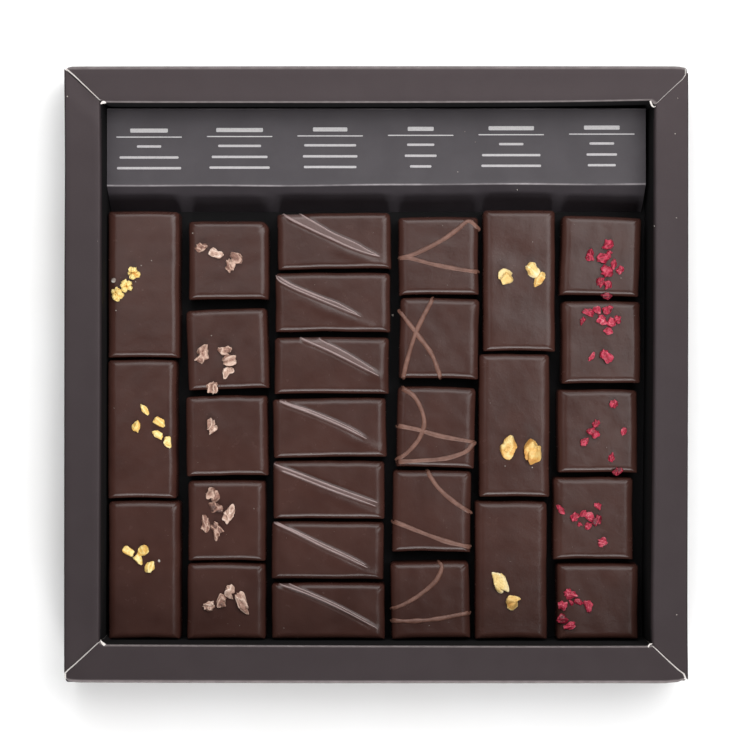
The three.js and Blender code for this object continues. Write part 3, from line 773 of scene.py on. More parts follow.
def side_layer(side, depth, path, normals, bow):
    """The grid of points at a depth in the board of the left or right side."""
    inner, outer = INNER[side], OUTER[side]
    outward = math.copysign(1, outer)
    along = side_places(side)
    width, height = (path - normals * depth).T
    share = width / abs(outer - inner)
    low = 1 - smooth_step((height - 18 * MM) / (8 * MM))
    ends = []
    for hand, tip in zip(("north", "south"), SIDE_TIPS[side]):
        corner = OUTER[hand] - math.copysign(0.3 * MM, OUTER[hand])
        end = INNER[hand] + (tip * MM - INNER[hand]) * share
        ends.append((end + (corner - tip * MM) * share * low)[:, None])
    y = ends[1] * (1 - along) + ends[0] * along
    tucked = 1 - smooth_step(np.minimum(ends[0] - y, y - ends[1]) / TUCK["run"])
    top = smooth_step((height - RIM / 2) / (RIM / 2))[:, None]
    share = share[:, None]
    x = (inner + outward * width)[:, None]
    x = x + outward * (wander(INNER_WANDER[side], y) + BOW * bow(y)) * (1 - share)
    x = x + outward * outer_wander(side, y) * share
    crown = np.sin(np.pi * np.clip(share, 0, 1))
    sag = TUCK["below_rim"] + TUCK["depth"] * tucked + crown * CROWN * (1 + 0.6 * bow(y + 0.3))
    return np.stack([x, y, height[:, None] - sag * top], axis=-1)


def side_flap(side, finishes, draws):
    """The left or right side of the box. Its top's ends are tucked under the front and back flaps."""
    path, normals, _ = rim_path(side)
    bow = waves(draws, 3, 60 * MM, 140 * MM)
    grids = [side_layer(side, depth, path, normals, bow) for depth in (0.0, BOARD)]
    points, faces, cut = closed_sheet(*grids)
    finish = painted_shade_faces(side, points, faces, cut)
    return add_piece(f"{side}_wall", points, faces, finishes, finish, sharp=HARD_EDGE)


def rounded_slab(west, east, south, north, bottom, top, corner, edge, height=None):
    """A thin plate with round corners and softened edges. height raises its top by the place."""
    thickness = top - bottom
    soft = min(edge, thickness / 2.5)
    levels = [(soft, bottom), (0.0, bottom + soft), (0.0, top - soft), (soft, top)]
    points = []
    for inset, level in levels:
        centres = [(east - corner, north - corner), (west + corner, north - corner),
                   (west + corner, south + corner), (east - corner, south + corner)]
        for quarter, (x, y) in enumerate(centres):
            for step in range(5):
                angle = (quarter + step / 4) * math.pi / 2
                reach = corner - inset
                place = (x + reach * math.cos(angle), y + reach * math.sin(angle))
                lift = height(*place) if height else 0.0
                points.append((*place, level + lift))
    count = 20
    ring = np.arange(len(points)).reshape(len(levels), count)
    closed = np.concatenate([ring, ring[:, :1]], axis=1)
    faces = grid_faces(closed[::-1])
    faces += [ring[0, ::-1].tolist(), ring[-1].tolist()]
    return points, faces


def board_slab(name, sides, beyond, levels, rounding, finish):
    """A level plate of board between two heights, which reaches so far beyond the sides."""
    edges = (sides["west"] - beyond, sides["east"] + beyond, sides["south"] - beyond, sides["north"] + beyond)
    return add_piece(name, *rounded_slab(*edges, *levels, *rounding), [finish], sharp=HARD_EDGE)


def make_box(draws):
    """The four sides, the base, the floor of the tray, the glue tabs and the torn lips."""
    card, raw, painted_shade = box_card(), raw_board(), painted_shade_lining()
    finishes = [card, raw, painted_shade]
    pieces = [crossing_flap(side, finishes, draws) for side in ("north", "south")]
    pieces += [side_flap(side, finishes, draws) for side in ("west", "east")]
    pieces.append(board_slab("base_board", OUTER, -1 * MM, (0.02 * MM, BOARD), (0.5 * MM, 0.15 * MM), card))
    levels = (FLOOR - BOARD, FLOOR)
    # The tray floor takes the painted shade as well.
    pieces.append(board_slab("tray_floor", INNER, 0.3 * MM, levels, (0.3 * MM, 0.1 * MM), painted_shade))
    pieces += corner_tabs(card) + torn_lips(raw)
    for piece in pieces:
        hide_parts("box")


def torn_lips(board):
    """The little lips of raw board that stand torn and pale at the inner corners."""
    lips = []
    for corner, (places, half_widths) in TORN_LIPS.items():
        curve = smooth_line(np.array(places) * MM, 0.12 * MM)
        share = np.linspace(0, 1, len(curve))
        wide = np.interp(share, np.linspace(0, 1, len(half_widths)), half_widths) * MM
        tall = np.minimum(wide, 0.14 * MM)
        path = np.column_stack([curve, RIM - 0.02 * MM - tall])
        lips.append(add_piece(f"torn_lip_{corner}", *rope(path, wide, tall), [board]))
    return lips


def corner_tab(north, east, card):
    """The glue tab that joins the outer walls behind a corner."""
    corner = Vector((OUTER[east], OUTER[north]))
    inwards = Vector((-math.copysign(1, corner.x), -math.copysign(1, corner.y)))
    bend = corner + inwards * TAB["behind"]
    ends = bend + inwards * TAB["reach"]
    corners = [(ends.x, bend.y), (bend.x, bend.y), (bend.x, ends.y)]
    path, normals, _ = folded_path(corners, [TAB["fold"]], 2 * MM)
    levels = np.linspace(TAB["low"], RIM - TAB["below_rim"], 8)
    if inwards.x * inwards.y < 0:
        levels = levels[::-1]
    grids = []
    for depth in (0.0, TAB["thick"]):
        grid = np.empty((len(path), len(levels), 3))
        grid[..., :2] = (path - normals * depth)[:, None, :]
        grid[..., 2] = levels
        grids.append(grid)
    points, faces, _ = closed_sheet(*grids)
    return add_piece(f"corner_tab_{north}_{east}", points, faces, [card], sharp=HARD_EDGE)


def corner_tabs(card):
    return [corner_tab(north, east, card) for north in ("south", "north") for east in ("west", "east")]


# The legend card


def panel_height(x, y):
    """How far the legend card's panel lies below its highest place: it bows a little between its folds."""
    across = np.clip((y - CREASE["line"]) / (CARD["north"] - CREASE["line"]), 0, 1)
    bow = PANEL_BOW * np.sin(np.pi * across) * (1 + 0.5 * np.sin(x / (31 * MM) + 1))
    return CARD["top"] - 0.05 * MM - bow - PANEL_UNEVEN * (1 + np.sin(x / (47 * MM) + 2))


def crease_shift(x):
    """How far the crease has wandered from its straight line."""
    lean = CREASE["lean"] * x / CARD["east"]
    return lean + CREASE["wander"] * (np.sin(x / (17 * MM)) + 0.6 * np.sin(x / (7.3 * MM) + 2))


def card_layer(depth, path, normals, x, bulge):
    """The grid of points at a depth in the legend card's paper."""
    y, z = (path - normals * depth).T
    drop = CARD["top"] - panel_height(x[None, :], y[:, None])
    rise = np.clip(z / CARD["top"], 0, 1)[:, None]
    on_panel = np.clip((CARD["north"] - y) / (CARD["north"] - CREASE["line"]), 0, 1)[:, None]
    on_leg = np.clip((CREASE["line"] - y) / (CREASE["line"] - CREASE["toe"]), 0, 1)[:, None]
    bead = np.exp(-(((y - CREASE["line"] - BEAD["behind"]) / BEAD["wide"]) ** 2))[:, None]
    grid = np.empty((len(y), len(x), 3))
    grid[..., 0] = x
    grid[..., 1] = y[:, None] + crease_shift(x) * on_panel * rise**2
    grid[..., 1] += LEG_BULGE * np.sin(np.pi * on_leg) * bulge(x)
    grid[..., 2] = np.minimum(z[:, None] - drop * rise + BEAD["tall"] * bead * rise**8, CARD["top"])
    return grid


def make_legend_card(draws):
    """A folded sheet: the back leg, the level panel, the raised crease and the front leg that leans down."""
    corners = [(CARD["north"], FLOOR), (CARD["north"], CARD["top"]), (CREASE["line"], CARD["top"]),
               (CREASE["toe"], FLOOR)]
    path, normals, folds = folded_path(corners, [0.6 * MM, CREASE["fold"]], 0.6 * MM)
    x = np.linspace(CARD["west"], CARD["east"], 170)
    bulge = waves(draws, 3, 40 * MM, 90 * MM)
    grids = [card_layer(depth, path, normals, x, bulge) for depth in (0.0, CARD["paper"])]
    points, faces, cut = closed_sheet(*grids)
    # The legend card's folds are painted pale, more in some places than others: partly wear, partly a painted
    # highlight.
    uneven_fold_paleness = 0.75 + 0.25 * waves(draws, 4, 15 * MM, 60 * MM)(x)
    marks = {"worn": np.concatenate([(folds[:, None] ** 4 * uneven_fold_paleness).ravel()] * 2)}
    finishes = [legend_card_paper(), grey_edge()]
    card = add_piece("folded_legend", points, faces, finishes, cut, marks, HARD_EDGE)
    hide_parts("legend_card")


def grey_edge():
    finish = Finish("grey_paper_edge", {"Roughness": 0.85})
    fibres = finish.noise(0.3 * MM, detail=3)
    finish.feed("Base Color", finish.blend(fibres, (0.09, 0.085, 0.083), (0.17, 0.16, 0.158)))
    return finish.material


# The legend's print: six blocks of a pale rule with plain bars above and below it, in millimetres
LEGEND = {"first": -70.1, "pitch": 27.95, "rule": (73.35, 20.2, 0.32), "tilt": 0.93 / 140}
HEADING = {"above": 2.0, "tall": 1.25, "widths": [11.6, 14.4, 10.6, 8.0, 14.0, 11.0]}
LINES = {"below": [2.9, 6.3, 9.6], "tall": 0.72,
         "widths": [[7.5, 18.2, 19.8], [13.2, 17.2, 18.6], [16.0, 16.8, 16.2],
                    [8.4, 9.8, 6.6], [7.5, 18.0, 18.4], [7.6, 9.4, 8.6]]}


def printed_bars(name, bars, colour):
    """Thin bars of ink that lie on the panel: middle east, middle north, width and height in millimetres."""
    slabs = []
    for bar in bars:
        x, y, wide, tall = np.array(bar) * MM
        edges = (x - wide / 2, x + wide / 2, y - tall / 2, y + tall / 2)
        corner = min(tall / 2, 0.3 * MM) * 0.95
        slabs.append(rounded_slab(*edges, -0.02 * MM, 0.02 * MM, corner, 0.005 * MM, panel_height))
    ink = printed_ink(f"{name}_ink", colour)
    add_piece(name, *joined(slabs), [ink], sharp=HARD_EDGE)


def make_print():
    rules, headings, lines = [], [], []
    for block in range(6):
        east = LEGEND["first"] + LEGEND["pitch"] * block
        north, wide, tall = LEGEND["rule"]
        north += LEGEND["tilt"] * (east - LEGEND["first"])
        rules.append((east, north, wide, tall))
        headings.append((east, north + HEADING["above"], HEADING["widths"][block], HEADING["tall"]))
        for below, line_wide in zip(LINES["below"], LINES["widths"][block]):
            lines.append((east, north - below, line_wide, LINES["tall"]))
    printed_bars("legend_rules", rules, INK)
    printed_bars("legend_headings", headings, INK_HEADING)
    printed_bars("legend_lines", lines, INK_SOFT)


# The pralines


def edge_drop(distance):
    """How far the coating has dropped at a distance in from the side."""
    across = np.clip(1 - distance / EDGE_RUN, 0, 1)
    return EDGE_DROP * (1 - (1 - across**EDGE_POWER) ** (1 / EDGE_POWER))


def edge_distance(x, y, half_x, half_y):
    """How far in from the side: the north and south edges round off in less, so distance counts for more."""
    return np.minimum(half_x - np.abs(x), (half_y - np.abs(y)) * EDGE_RUN / END_RUN)


def stations(half, pitch):
    """Places from one side of a praline to the other, close together where its edge rounds off."""
    angles = np.linspace(0, math.pi / 2, EDGE_STEPS + 1)
    rounded = EDGE_RUN * (1 - np.abs(np.cos(angles)) ** (2 / EDGE_POWER))
    flat = half - EDGE_RUN
    level = np.linspace(-flat, flat, round(2 * flat / pitch) + 1)
    return np.concatenate([rounded[:-1] - half, level, (half - rounded[:-1])[::-1]])


def turn_corners(x, y, inside, half_x, half_y, corners):
    """Draws the square rings of a praline's grid round its four corners, each with its own radius."""
    north = np.where(x > 0, corners[0], corners[1])
    south = np.where(x < 0, corners[2], corners[3])
    radius = np.where(y > 0, north, south) * (1 - smooth_step((inside - EDGE_RUN) / CORNER_RUN))
    radius = np.maximum(radius, 0.01 * MM)
    short_x = half_x - inside - np.abs(x)
    short_y = half_y - inside - np.abs(y)
    along = 0.5 + (short_x - short_y) / (2 * radius)
    angle = np.clip(along, 0, 1) * math.pi / 2
    in_corner = np.abs(short_x - short_y) < radius
    new_x = half_x - inside - radius * (1 - np.cos(angle))
    new_y = half_y - inside - radius * (1 - np.sin(angle))
    x = np.where(in_corner, np.copysign(new_x, x), x)
    y = np.where(in_corner, np.copysign(new_y, y), y)
    return x, y


def coating_surface(half_x, half_y, relief, draws):
    """The height of a praline's top: level with a little unevenness, its relief, and its rounded edge."""
    settle = waves(draws, 4, 14 * MM, 34 * MM)
    ripple = waves(draws, 5, 5 * MM, 11 * MM)

    def surface(x, y, inside=None):
        if inside is None:
            inside = np.maximum(edge_distance(x, y, half_x, half_y), 0.02 * MM)
        level = smooth_step(inside / EDGE_RUN)
        uneven = SETTLED * settle(x, y) + RIPPLED * ripple(x, y) * level
        return HEIGHT - edge_drop(inside) + relief(x, y) * smooth_step(inside / RELIEF_RUN) + uneven

    return surface


def coated_top(half_x, half_y, surface, draws, pitch, corners):
    """The grid of points of a praline's top, out over its rounded edge."""
    x, y = np.meshgrid(stations(half_x, pitch), stations(half_y, pitch), indexing="ij")
    inside = np.minimum(half_x - np.abs(x), half_y - np.abs(y))
    rounded = edge_distance(x, y, half_x, half_y)
    x, y = turn_corners(x, y, inside, half_x, half_y, corners)
    z = surface(x, y, rounded)
    wobble = waves(draws, 4, 9 * MM, 26 * MM)
    drawn = DRAWN_IN * (1 + wobble(x + 0.5, y))
    x = x - np.copysign(drawn, x) * smooth_step(np.abs(x) / half_x)
    y = y - np.copysign(drawn, y) * smooth_step(np.abs(y) / half_y) + SIDE_BOW * (1 - (x / half_x) ** 2)
    return np.stack([x, y, z], axis=-1)


def side_rings(rim, draws):
    """The outlines of a praline's side below its rim, swollen a little, and drawn in at its foot."""
    run = np.arange(len(rim)) * 0.7 * MM
    pucker = waves(draws, 4, 4 * MM, 14 * MM)
    rings = []
    for share, swell in SWELLS:
        rings.append(side_ring(rim, share, swell * MM * (1 + pucker(run, share * 10 * MM))))
    rings.append(side_ring(rim, FOOT_HEIGHT / HEIGHT, 0.0))
    rings.append(side_ring(rim, FOOT_HEIGHT * 0.4 / HEIGHT, -0.12 * MM))
    rings.append(side_ring(rim, 0.0, -FOOT))
    return rings


def enrobed_body(half_x, half_y, surface, draws, pitch, corners):
    """Points and faces of a coated praline about the middle of its underside."""
    top = coated_top(half_x, half_y, surface, draws, pitch, corners)
    index = np.arange(top.shape[0] * top.shape[1]).reshape(top.shape[:2])
    border = np.concatenate([index[:-1, 0], index[-1, :-1], index[:0:-1, -1], index[0, :0:-1]])
    rings = side_rings(top.reshape(-1, 3)[border], draws)
    levels = [border, *(index.size + len(border) * k + np.arange(len(border)) for k in range(len(rings)))]
    faces = grid_faces(index)
    for upper, lower in zip(levels, levels[1:]):
        faces += strip_faces(np.append(lower, lower[0]), np.append(upper, upper[0]))
    points = np.concatenate([top.reshape(-1, 3), *rings, [[0.0, 0.0, 0.0]]])
    hub = len(points) - 1
    last = levels[-1]
    faces += [[hub, there, here] for here, there in zip(last.tolist(), np.roll(last, -1).tolist())]
    return points, faces


def side_ring(rim, share, swell):
    """The outline of a praline's side, at a share of the height of its rim, pushed out by swell."""
    ring = rim.copy()
    distance = np.hypot(rim[:, 0], rim[:, 1])
    push = np.asarray(swell) / distance
    ring[:, 0] += rim[:, 0] * push
    ring[:, 1] += rim[:, 1] * push
    ring[:, 2] = rim[:, 2] * share
    return ring


def nearest_on(curve, x, y):
    """How far points are from a curve, and the number of the curve's nearest place."""
    distance = np.hypot(x[:, None] - curve[:, 0], y[:, None] - curve[:, 1])
    nearest = distance.argmin(axis=1)
    return distance[np.arange(len(nearest)), nearest], nearest


def ridge_relief(ridge):
    """The relief under the crests and how far a point is on it: a plateau, a groove and a soft drape."""
    crests = [smooth_line(np.array(places) * MM, 0.4 * MM) for places, _ in ridge["crests"]]
    drape = smooth_line(np.array(ridge["drape"]) * MM, 0.5 * MM)

    def between_crests(x, y):
        first, first_place = nearest_on(crests[0], x, y)
        second, second_place = nearest_on(crests[1], x, y)
        between = np.linalg.norm(crests[0][first_place] - crests[1][second_place], axis=1)
        fade = np.minimum(1, (1 - first_place / len(crests[0])) * 6)
        plateau = smooth_step(1 - (first + second - between) / (2 * PLATEAU_SKIRT)) * fade
        groove = np.exp(-(((first - GROOVE_AWAY) / GROOVE_WIDTH) ** 2))
        groove = groove * smooth_step((second - between) / RELIEF_RUN)
        return plateau, groove * fade

    def relief(x, y):
        flat_x, flat_y = np.ravel(x), np.ravel(y)
        plateau, groove = between_crests(flat_x, flat_y)
        beside, drape_place = nearest_on(drape, flat_x, flat_y)
        soft = np.exp(-((beside / DRAPE_WIDTH) ** 2)) * smooth_step(0.25 + 1.5 * drape_place / len(drape))
        return (PLATEAU * plateau - GROOVE * groove + DRAPE_HEIGHT * soft).reshape(np.shape(x))

    def drawn_up(points):
        return between_crests(points[:, 0], points[:, 1])[0] * (points[:, 2] > HEIGHT - 2 * MM)

    return relief, drawn_up


# The least and greatest radius of each corner in millimetres, from the north-east anticlockwise, and the wide
# corner of the first nib praline. The spacing of points on a top, how much a crest thins at its far end, and
# how far the sides swell, in millimetres, at shares of their height.
CORNER_RADII = ((0.8, 1.3), (0.8, 1.3), (0.3, 0.6), (0.3, 0.6))
WIDE_CORNER = 2.6 * MM
PITCH = 0.6 * MM
RIDGE_PITCH = 0.3 * MM
CREST_TAPER = 0.55
SWELLS = ((0.86, 0.02), (0.66, 0.05), (0.42, 0.06), (0.2, 0.05))


def level_top(x, y):
    return np.zeros(np.shape(x))


def not_drawn_up(points):
    return np.zeros(len(points))


def half_sizes(kind, number):
    west, east, south, north, _ = PLACES[kind][number]
    return (east - west) / 2 * MM, (north - south) / 2 * MM


def middle(kind, number):
    west, east, south, north, _ = PLACES[kind][number]
    return np.array([(west + east) / 2 * MM, (south + north) / 2 * MM, FLOOR])


def coating_marks(points, body, drawn_up):
    """How far down a side each point lies, where painted bounce light reddens it, and how much it belongs to
    a crest or to the plateau, where a painted highlight makes it paler.
    """
    flank = smooth_step((HEIGHT - 0.4 * MM - points[:, 2]) / (2.2 * MM))
    crest = np.ones(len(points))
    crest[:len(body)] = 0.3 * drawn_up(body)
    plateau = np.zeros(len(points))
    plateau[:len(body)] = drawn_up(body)
    return {"flank": flank, "crest": crest, "plateau": plateau}


def make_praline(kind, number, coating, draws):
    """A coated praline. Gives the function of its top's height, for what lies on it."""
    half_x, half_y = half_sizes(kind, number)
    ridged = kind == "ridge"
    relief, drawn_up = ridge_relief(RIDGES[number]) if ridged else (level_top, not_drawn_up)
    surface = coating_surface(half_x, half_y, relief, draws)
    corners = [draws.uniform(low, high) * MM for low, high in CORNER_RADII]
    if (kind, number) == ("nib", 0):
        corners[0] = WIDE_CORNER
    body, faces = enrobed_body(half_x, half_y, surface, draws, RIDGE_PITCH if ridged else PITCH, corners)
    parts = [(body, faces)]
    if ridged:
        for places, wide in RIDGES[number]["crests"]:
            sizes = (wide * MM / 2, CREST_TALL, half_x, half_y)
            parts.append(laid_line(places, *sizes, surface, draws, CREST_TAPER))
    points, faces = joined(parts)
    marks = coating_marks(points, body, drawn_up)
    points = turned(points, math.radians(PLACES[kind][number][4])) + middle(kind, number)
    node = f"{kind}_{number + 1}"
    praline = add_piece(f"{node}_coating", points, faces, [coating], marks=marks)
    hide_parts(node)
    return surface


def turned(points, angle):
    """Points turned round the upright axis."""
    spun = points.copy()
    spun[:, 0] = points[:, 0] * math.cos(angle) - points[:, 1] * math.sin(angle)
    spun[:, 1] = points[:, 0] * math.sin(angle) + points[:, 1] * math.cos(angle)
    return spun


def joined(parts):
    """Several sets of points and faces as one."""
    points, faces, count = [], [], 0
    for part_points, part_faces in parts:
        faces += [[corner + count for corner in face] for face in part_faces]
        points.append(np.asarray(part_points))
        count += len(part_points)
    return np.concatenate(points), faces


def rope(path, half_wide, half_tall, steps=10):
    """A flattened tube along a path, with its widths and heights at each place."""
    heading = np.gradient(path[:, :2], axis=0)
    heading /= np.maximum(np.linalg.norm(heading, axis=1), 1e-9)[:, None]
    angles = np.linspace(0, 2 * math.pi, steps, endpoint=False)
    across, up = np.cos(angles), np.sin(angles)
    points = np.empty((len(path), steps, 3))
    points[..., 0] = path[:, 0, None] - heading[:, 1, None] * across * half_wide[:, None]
    points[..., 1] = path[:, 1, None] + heading[:, 0, None] * across * half_wide[:, None]
    points[..., 2] = path[:, 2, None] + up * half_tall[:, None]
    index = np.arange(points.shape[0] * steps).reshape(-1, steps)
    closed = np.concatenate([index, index[:, :1]], axis=1)
    faces = grid_faces(closed) + [index[0].tolist(), index[-1, ::-1].tolist()]
    return points.reshape(-1, 3), faces


def laid_line(places, half_wide, half_tall, half_x, half_y, surface, draws, taper=0.0):
    """A line of chocolate that follows a praline's top and hangs over its edges. taper thins its far end."""
    curve = smooth_line(np.array(places) * MM, 0.35 * MM)
    over_x = np.maximum(np.abs(curve[:, 0]) - half_x, 0)
    over_y = np.maximum(np.abs(curve[:, 1]) - half_y, 0)
    x = np.clip(curve[:, 0], -half_x, half_x)
    y = np.clip(curve[:, 1], -half_y, half_y)
    z = surface(x, y) - HANGING * np.minimum(np.maximum(over_x, over_y), STRING_DRAPE)
    y = y + SIDE_BOW * (1 - (x / half_x) ** 2)
    share = np.linspace(0, 1, len(x))
    ends = np.sqrt(np.clip(np.minimum(share, 1 - share) * len(x) / 2.5, 0.02, 1))
    swell = (1 + 0.12 * waves(draws, 3, 0.15, 0.5)(share)) * ends * (1 - taper * share**2)
    return rope(np.stack([x, y, z], axis=-1), half_wide * swell, half_tall * swell)


# What lies on the pralines


class Gathering:
    """Many small lumps that become one piece, with a ridge mark and a shade mark at each point."""

    def __init__(self):
        self.points = []
        self.faces = []
        self.ridges = []
        self.shades = []

    def add(self, points, faces, ridge, shade):
        start = len(self.points)
        self.points.extend(points.tolist())
        self.faces.extend((np.asarray(faces) + start).tolist())
        self.ridges.extend(np.broadcast_to(ridge, len(points)).tolist())
        self.shades.extend([shade] * len(points))

    def piece(self, name, finish):
        marks = {"ridge": self.ridges, "shade": self.shades}
        return add_piece(name, self.points, self.faces, [finish], marks=marks)


def ball(subdivisions):
    """Directions evenly round a point, and the triangles between them."""
    shell = bmesh.new()
    bmesh.ops.create_icosphere(shell, subdivisions=subdivisions, radius=1)
    directions = np.array([corner.co for corner in shell.verts])
    faces = [[corner.index for corner in face.verts] for face in shell.faces]
    shell.free()
    return directions, faces


FINE_BALL = ball(5)
PLAIN_BALL = ball(4)
SMALL_BALL = ball(2)


def spread_directions(count, draws):
    """Directions spread round a point with some disorder."""
    golden = math.pi * (3 - math.sqrt(5))
    start = draws.uniform(0, 2 * math.pi)
    directions = []
    for step in range(count):
        height = 1 - 2 * (step + 0.5) / count
        reach = math.sqrt(1 - height * height)
        angle = start + golden * step
        direction = Vector((reach * math.cos(angle), reach * math.sin(angle), height))
        direction += Vector([draws.uniform(-0.35, 0.35) for _ in range(3)])
        directions.append(direction.normalized())
    return np.array(directions)


def grain_waves(directions, draws, count, pitch):
    """Uneven waves over a lump, between about -1 and 1."""
    total = np.zeros(len(directions))
    for _ in range(count):
        heading = Vector([draws.gauss(0, 1) for _ in range(3)]).normalized() * pitch * draws.uniform(0.7, 1.4)
        total += np.sin(directions @ np.array(heading) + draws.uniform(0, 2 * math.pi))
    return total / math.sqrt(count)


def broken_lump(directions, draws, sides, chunks, fold, pitch, rough):
    """How far a lump of joined rounded chunks reaches each way, and how near each point is to a thin rim."""
    reach = np.zeros(len(directions))
    start = draws.uniform(0, 2 * math.pi)
    for chunk in range(chunks):
        angle = start + math.pi * 2 * chunk / chunks + draws.uniform(-0.4, 0.4)
        away = 0.0 if chunks == 1 else draws.uniform(0.1, 0.2)
        centre = np.array([away * math.cos(angle), away * math.sin(angle), draws.uniform(-0.04, 0.06)])
        normals = spread_directions(sides, draws)
        distances = np.array([draws.uniform(0.22, 0.42) for _ in range(sides)]) + normals @ centre
        facing = directions @ normals.T
        planes = np.where(facing > 0.05, np.maximum(distances, 0.07) / np.maximum(facing, 0.05), 9.0)
        reach = np.maximum(reach, (planes**-ROUNDED).sum(axis=1) ** (-1 / ROUNDED))
    crease = np.abs(grain_waves(directions, draws, 3, pitch))
    rim = np.clip(1 - 1.6 * crease, 0, 1)
    radius = reach * (1 + fold * (rim - 0.5)) + rough * grain_waves(directions, draws, 5, 2.2 * pitch)
    radius = radius + rough * 0.6 * grain_waves(directions, draws, 6, 22)
    return np.maximum(radius, 0.08), np.clip(0.25 + 0.75 * rim, 0, 1)


def lobed_lump(directions, draws, lobes, rough):
    """How far a crinkled cluster of lobes reaches each way, and how near each point is to a top."""
    reaches = []
    start = draws.uniform(0, 2 * math.pi)
    for lobe in range(lobes):
        angle = start + 2 * math.pi * (lobe + draws.uniform(-0.3, 0.3)) / lobes
        away = draws.uniform(0.18, 0.32)
        centre = np.array([away * math.cos(angle), away * math.sin(angle), draws.uniform(-0.06, 0.14)])
        size = draws.uniform(0.13, 0.23)
        along = directions @ centre
        inside = along**2 - centre @ centre + size**2
        reaches.append(np.where(inside > 0, along + np.sqrt(np.maximum(inside, 0)), 0.16))
    reach = np.sort(np.array(reaches), axis=0)[::-1]
    crease = np.exp(-(reach[0] - reach[1]) / 0.05) + 1.1 * np.exp(-(reach[0] - 0.16) / 0.06)
    crinkle = 1 - 2 * np.abs(grain_waves(directions, draws, 4, 7))
    radius = reach[0] + rough * crinkle + rough * 0.6 * grain_waves(directions, draws, 6, 20)
    return np.maximum(radius, 0.08), np.clip(1 - 0.8 * crease + 0.25 * crinkle, 0, 1)


def placed_lump(directions, radius, wide, long, tall, turn):
    """A lump scaled to its width, length and height, and turned."""
    points = directions * radius[:, None]
    low, high = points.min(axis=0), points.max(axis=0)
    points = (points - (low + high) / 2) / (high - low) * np.array([wide, long, tall])
    return turned(points, turn)


# How rounded the broken chunks are, and each kind's chunks, folds and grain
ROUNDED = 9
LUMPS = {
    "sesame": {"sides": 9, "chunks": 1, "fold": 0.14, "pitch": 2.6, "rough": 0.016},
    "nib": {"sides": 9, "chunks": 2, "fold": 0.26, "pitch": 3.4, "rough": 0.016},
    "almond": {"sides": 10, "chunks": 2, "fold": 0.10, "pitch": 2.4, "rough": 0.014},
    "berry": {"sides": 10, "chunks": 2, "fold": 0.26, "pitch": 3.8, "rough": 0.020},
}


def make_crumbs(kind, name, finish, tops, draws):
    """All the crumbs of a kind as one piece, each at its own place, size and turn."""
    directions, faces = PLAIN_BALL if kind == "berry" else FINE_BALL
    gathering = Gathering()
    for number, crumbs in enumerate(CRUMBS[kind]):
        for count, (east, north, wide, long, turn) in enumerate(crumbs):
            if (kind, number) == ("sesame", 0):
                radius, ridge = lobed_lump(directions, draws, (6, 5, 6)[count], 0.034)
            else:
                radius, ridge = broken_lump(directions, draws, **LUMPS[kind])
            tall = TALL * min(wide, long)
            turn = math.radians(turn or draws.uniform(-25, 25))
            lump = placed_lump(directions, radius, wide * MM, long * MM, tall * MM, turn)
            height = tops[kind, number](east * MM, north * MM) + tall * (0.5 - SUNK) * MM
            shade = SHADES.get((kind, number, count), draws.uniform(0.35, 0.9))
            place = middle(kind, number) + np.array([east * MM, north * MM, height])
            gathering.add(lump + place, faces, ridge, shade)
    return gathering.piece(name, finish)


def make_strings(tops, draws):
    """All the piped strings as one piece."""
    parts = []
    for number, lines in enumerate(STRINGS):
        half_x, half_y = half_sizes("string", number)
        surface = tops["string", number]
        for places in lines:
            line, faces = laid_line(places, STRING_WIDE / 2, STRING_TALL, half_x, half_y, surface, draws)
            parts.append((line + middle("string", number), faces))
    add_piece("milk_strings", *joined(parts), [milk_couverture()])


# Specks of dust and crumb on the pralines: kind, praline, east, north and size
SPECKS = [
    ("sesame", 0, -9.2, 1.3, 1.6), ("sesame", 0, 2.5, 7.4, 0.45), ("sesame", 0, -0.7, 5.9, 0.4),
    ("sesame", 0, -2.4, 0.9, 0.4), ("sesame", 0, -8.5, -8, 0.4), ("sesame", 2, 4.65, 3, 0.9),
    ("nib", 0, -11.1, 8.45, 0.3), ("nib", 1, -4.95, 4.3, 0.35), ("nib", 3, 8.45, 3.9, 0.4),
    ("berry", 0, 6.15, -6.7, 0.35), ("almond", 1, -2.9, -12.45, 0.4), ("almond", 1, 5.5, -12.85, 0.35),
    ("sesame", 1, 1.25, 6.6, 0.35),
]

# Specks on the rim, the legend card and the floor: east, north, height and size
LOOSE_SPECKS = [
    (-93.9, 84.6, 27.75, 0.45), (-84.7, 40.6, 27.7, 0.5), (91.7, 84.1, 27.75, 0.35),
    (90.9, 73.3, 27.75, 0.35), (91.3, 47.7, 27.75, 0.3), (84.6, 45.2, 27.6, 0.3), (58.5, 85.4, 27.8, 0.3),
    (27.4, 75.0, 15.9, 0.35), (30.6, 71.8, 15.9, 0.3), (25.2, 62.6, 15.8, 0.3), (5.2, 18.7, 1.5, 0.7),
    (82.3, -0.6, 1.5, 0.7), (-83.6, 3.0, 1.5, 0.5), (91.4, -73.0, 27.75, 0.4), (33.9, 55.6, 8.6, 0.35),
    (43.7, 57.3, 13.1, 0.4),
]


def scattered_dust(draws):
    """Two fine specks for every praline: kind, praline, east, north and size."""
    specks = []
    for kind, places in PLACES.items():
        for number in range(len(places)):
            half_x, half_y = half_sizes(kind, number)
            for _ in range(2):
                east = draws.uniform(-0.85, 0.85) * half_x / MM
                north = draws.uniform(-0.85, 0.85) * half_y / MM
                specks.append((kind, number, east, north, draws.uniform(0.1, 0.2)))
    return specks


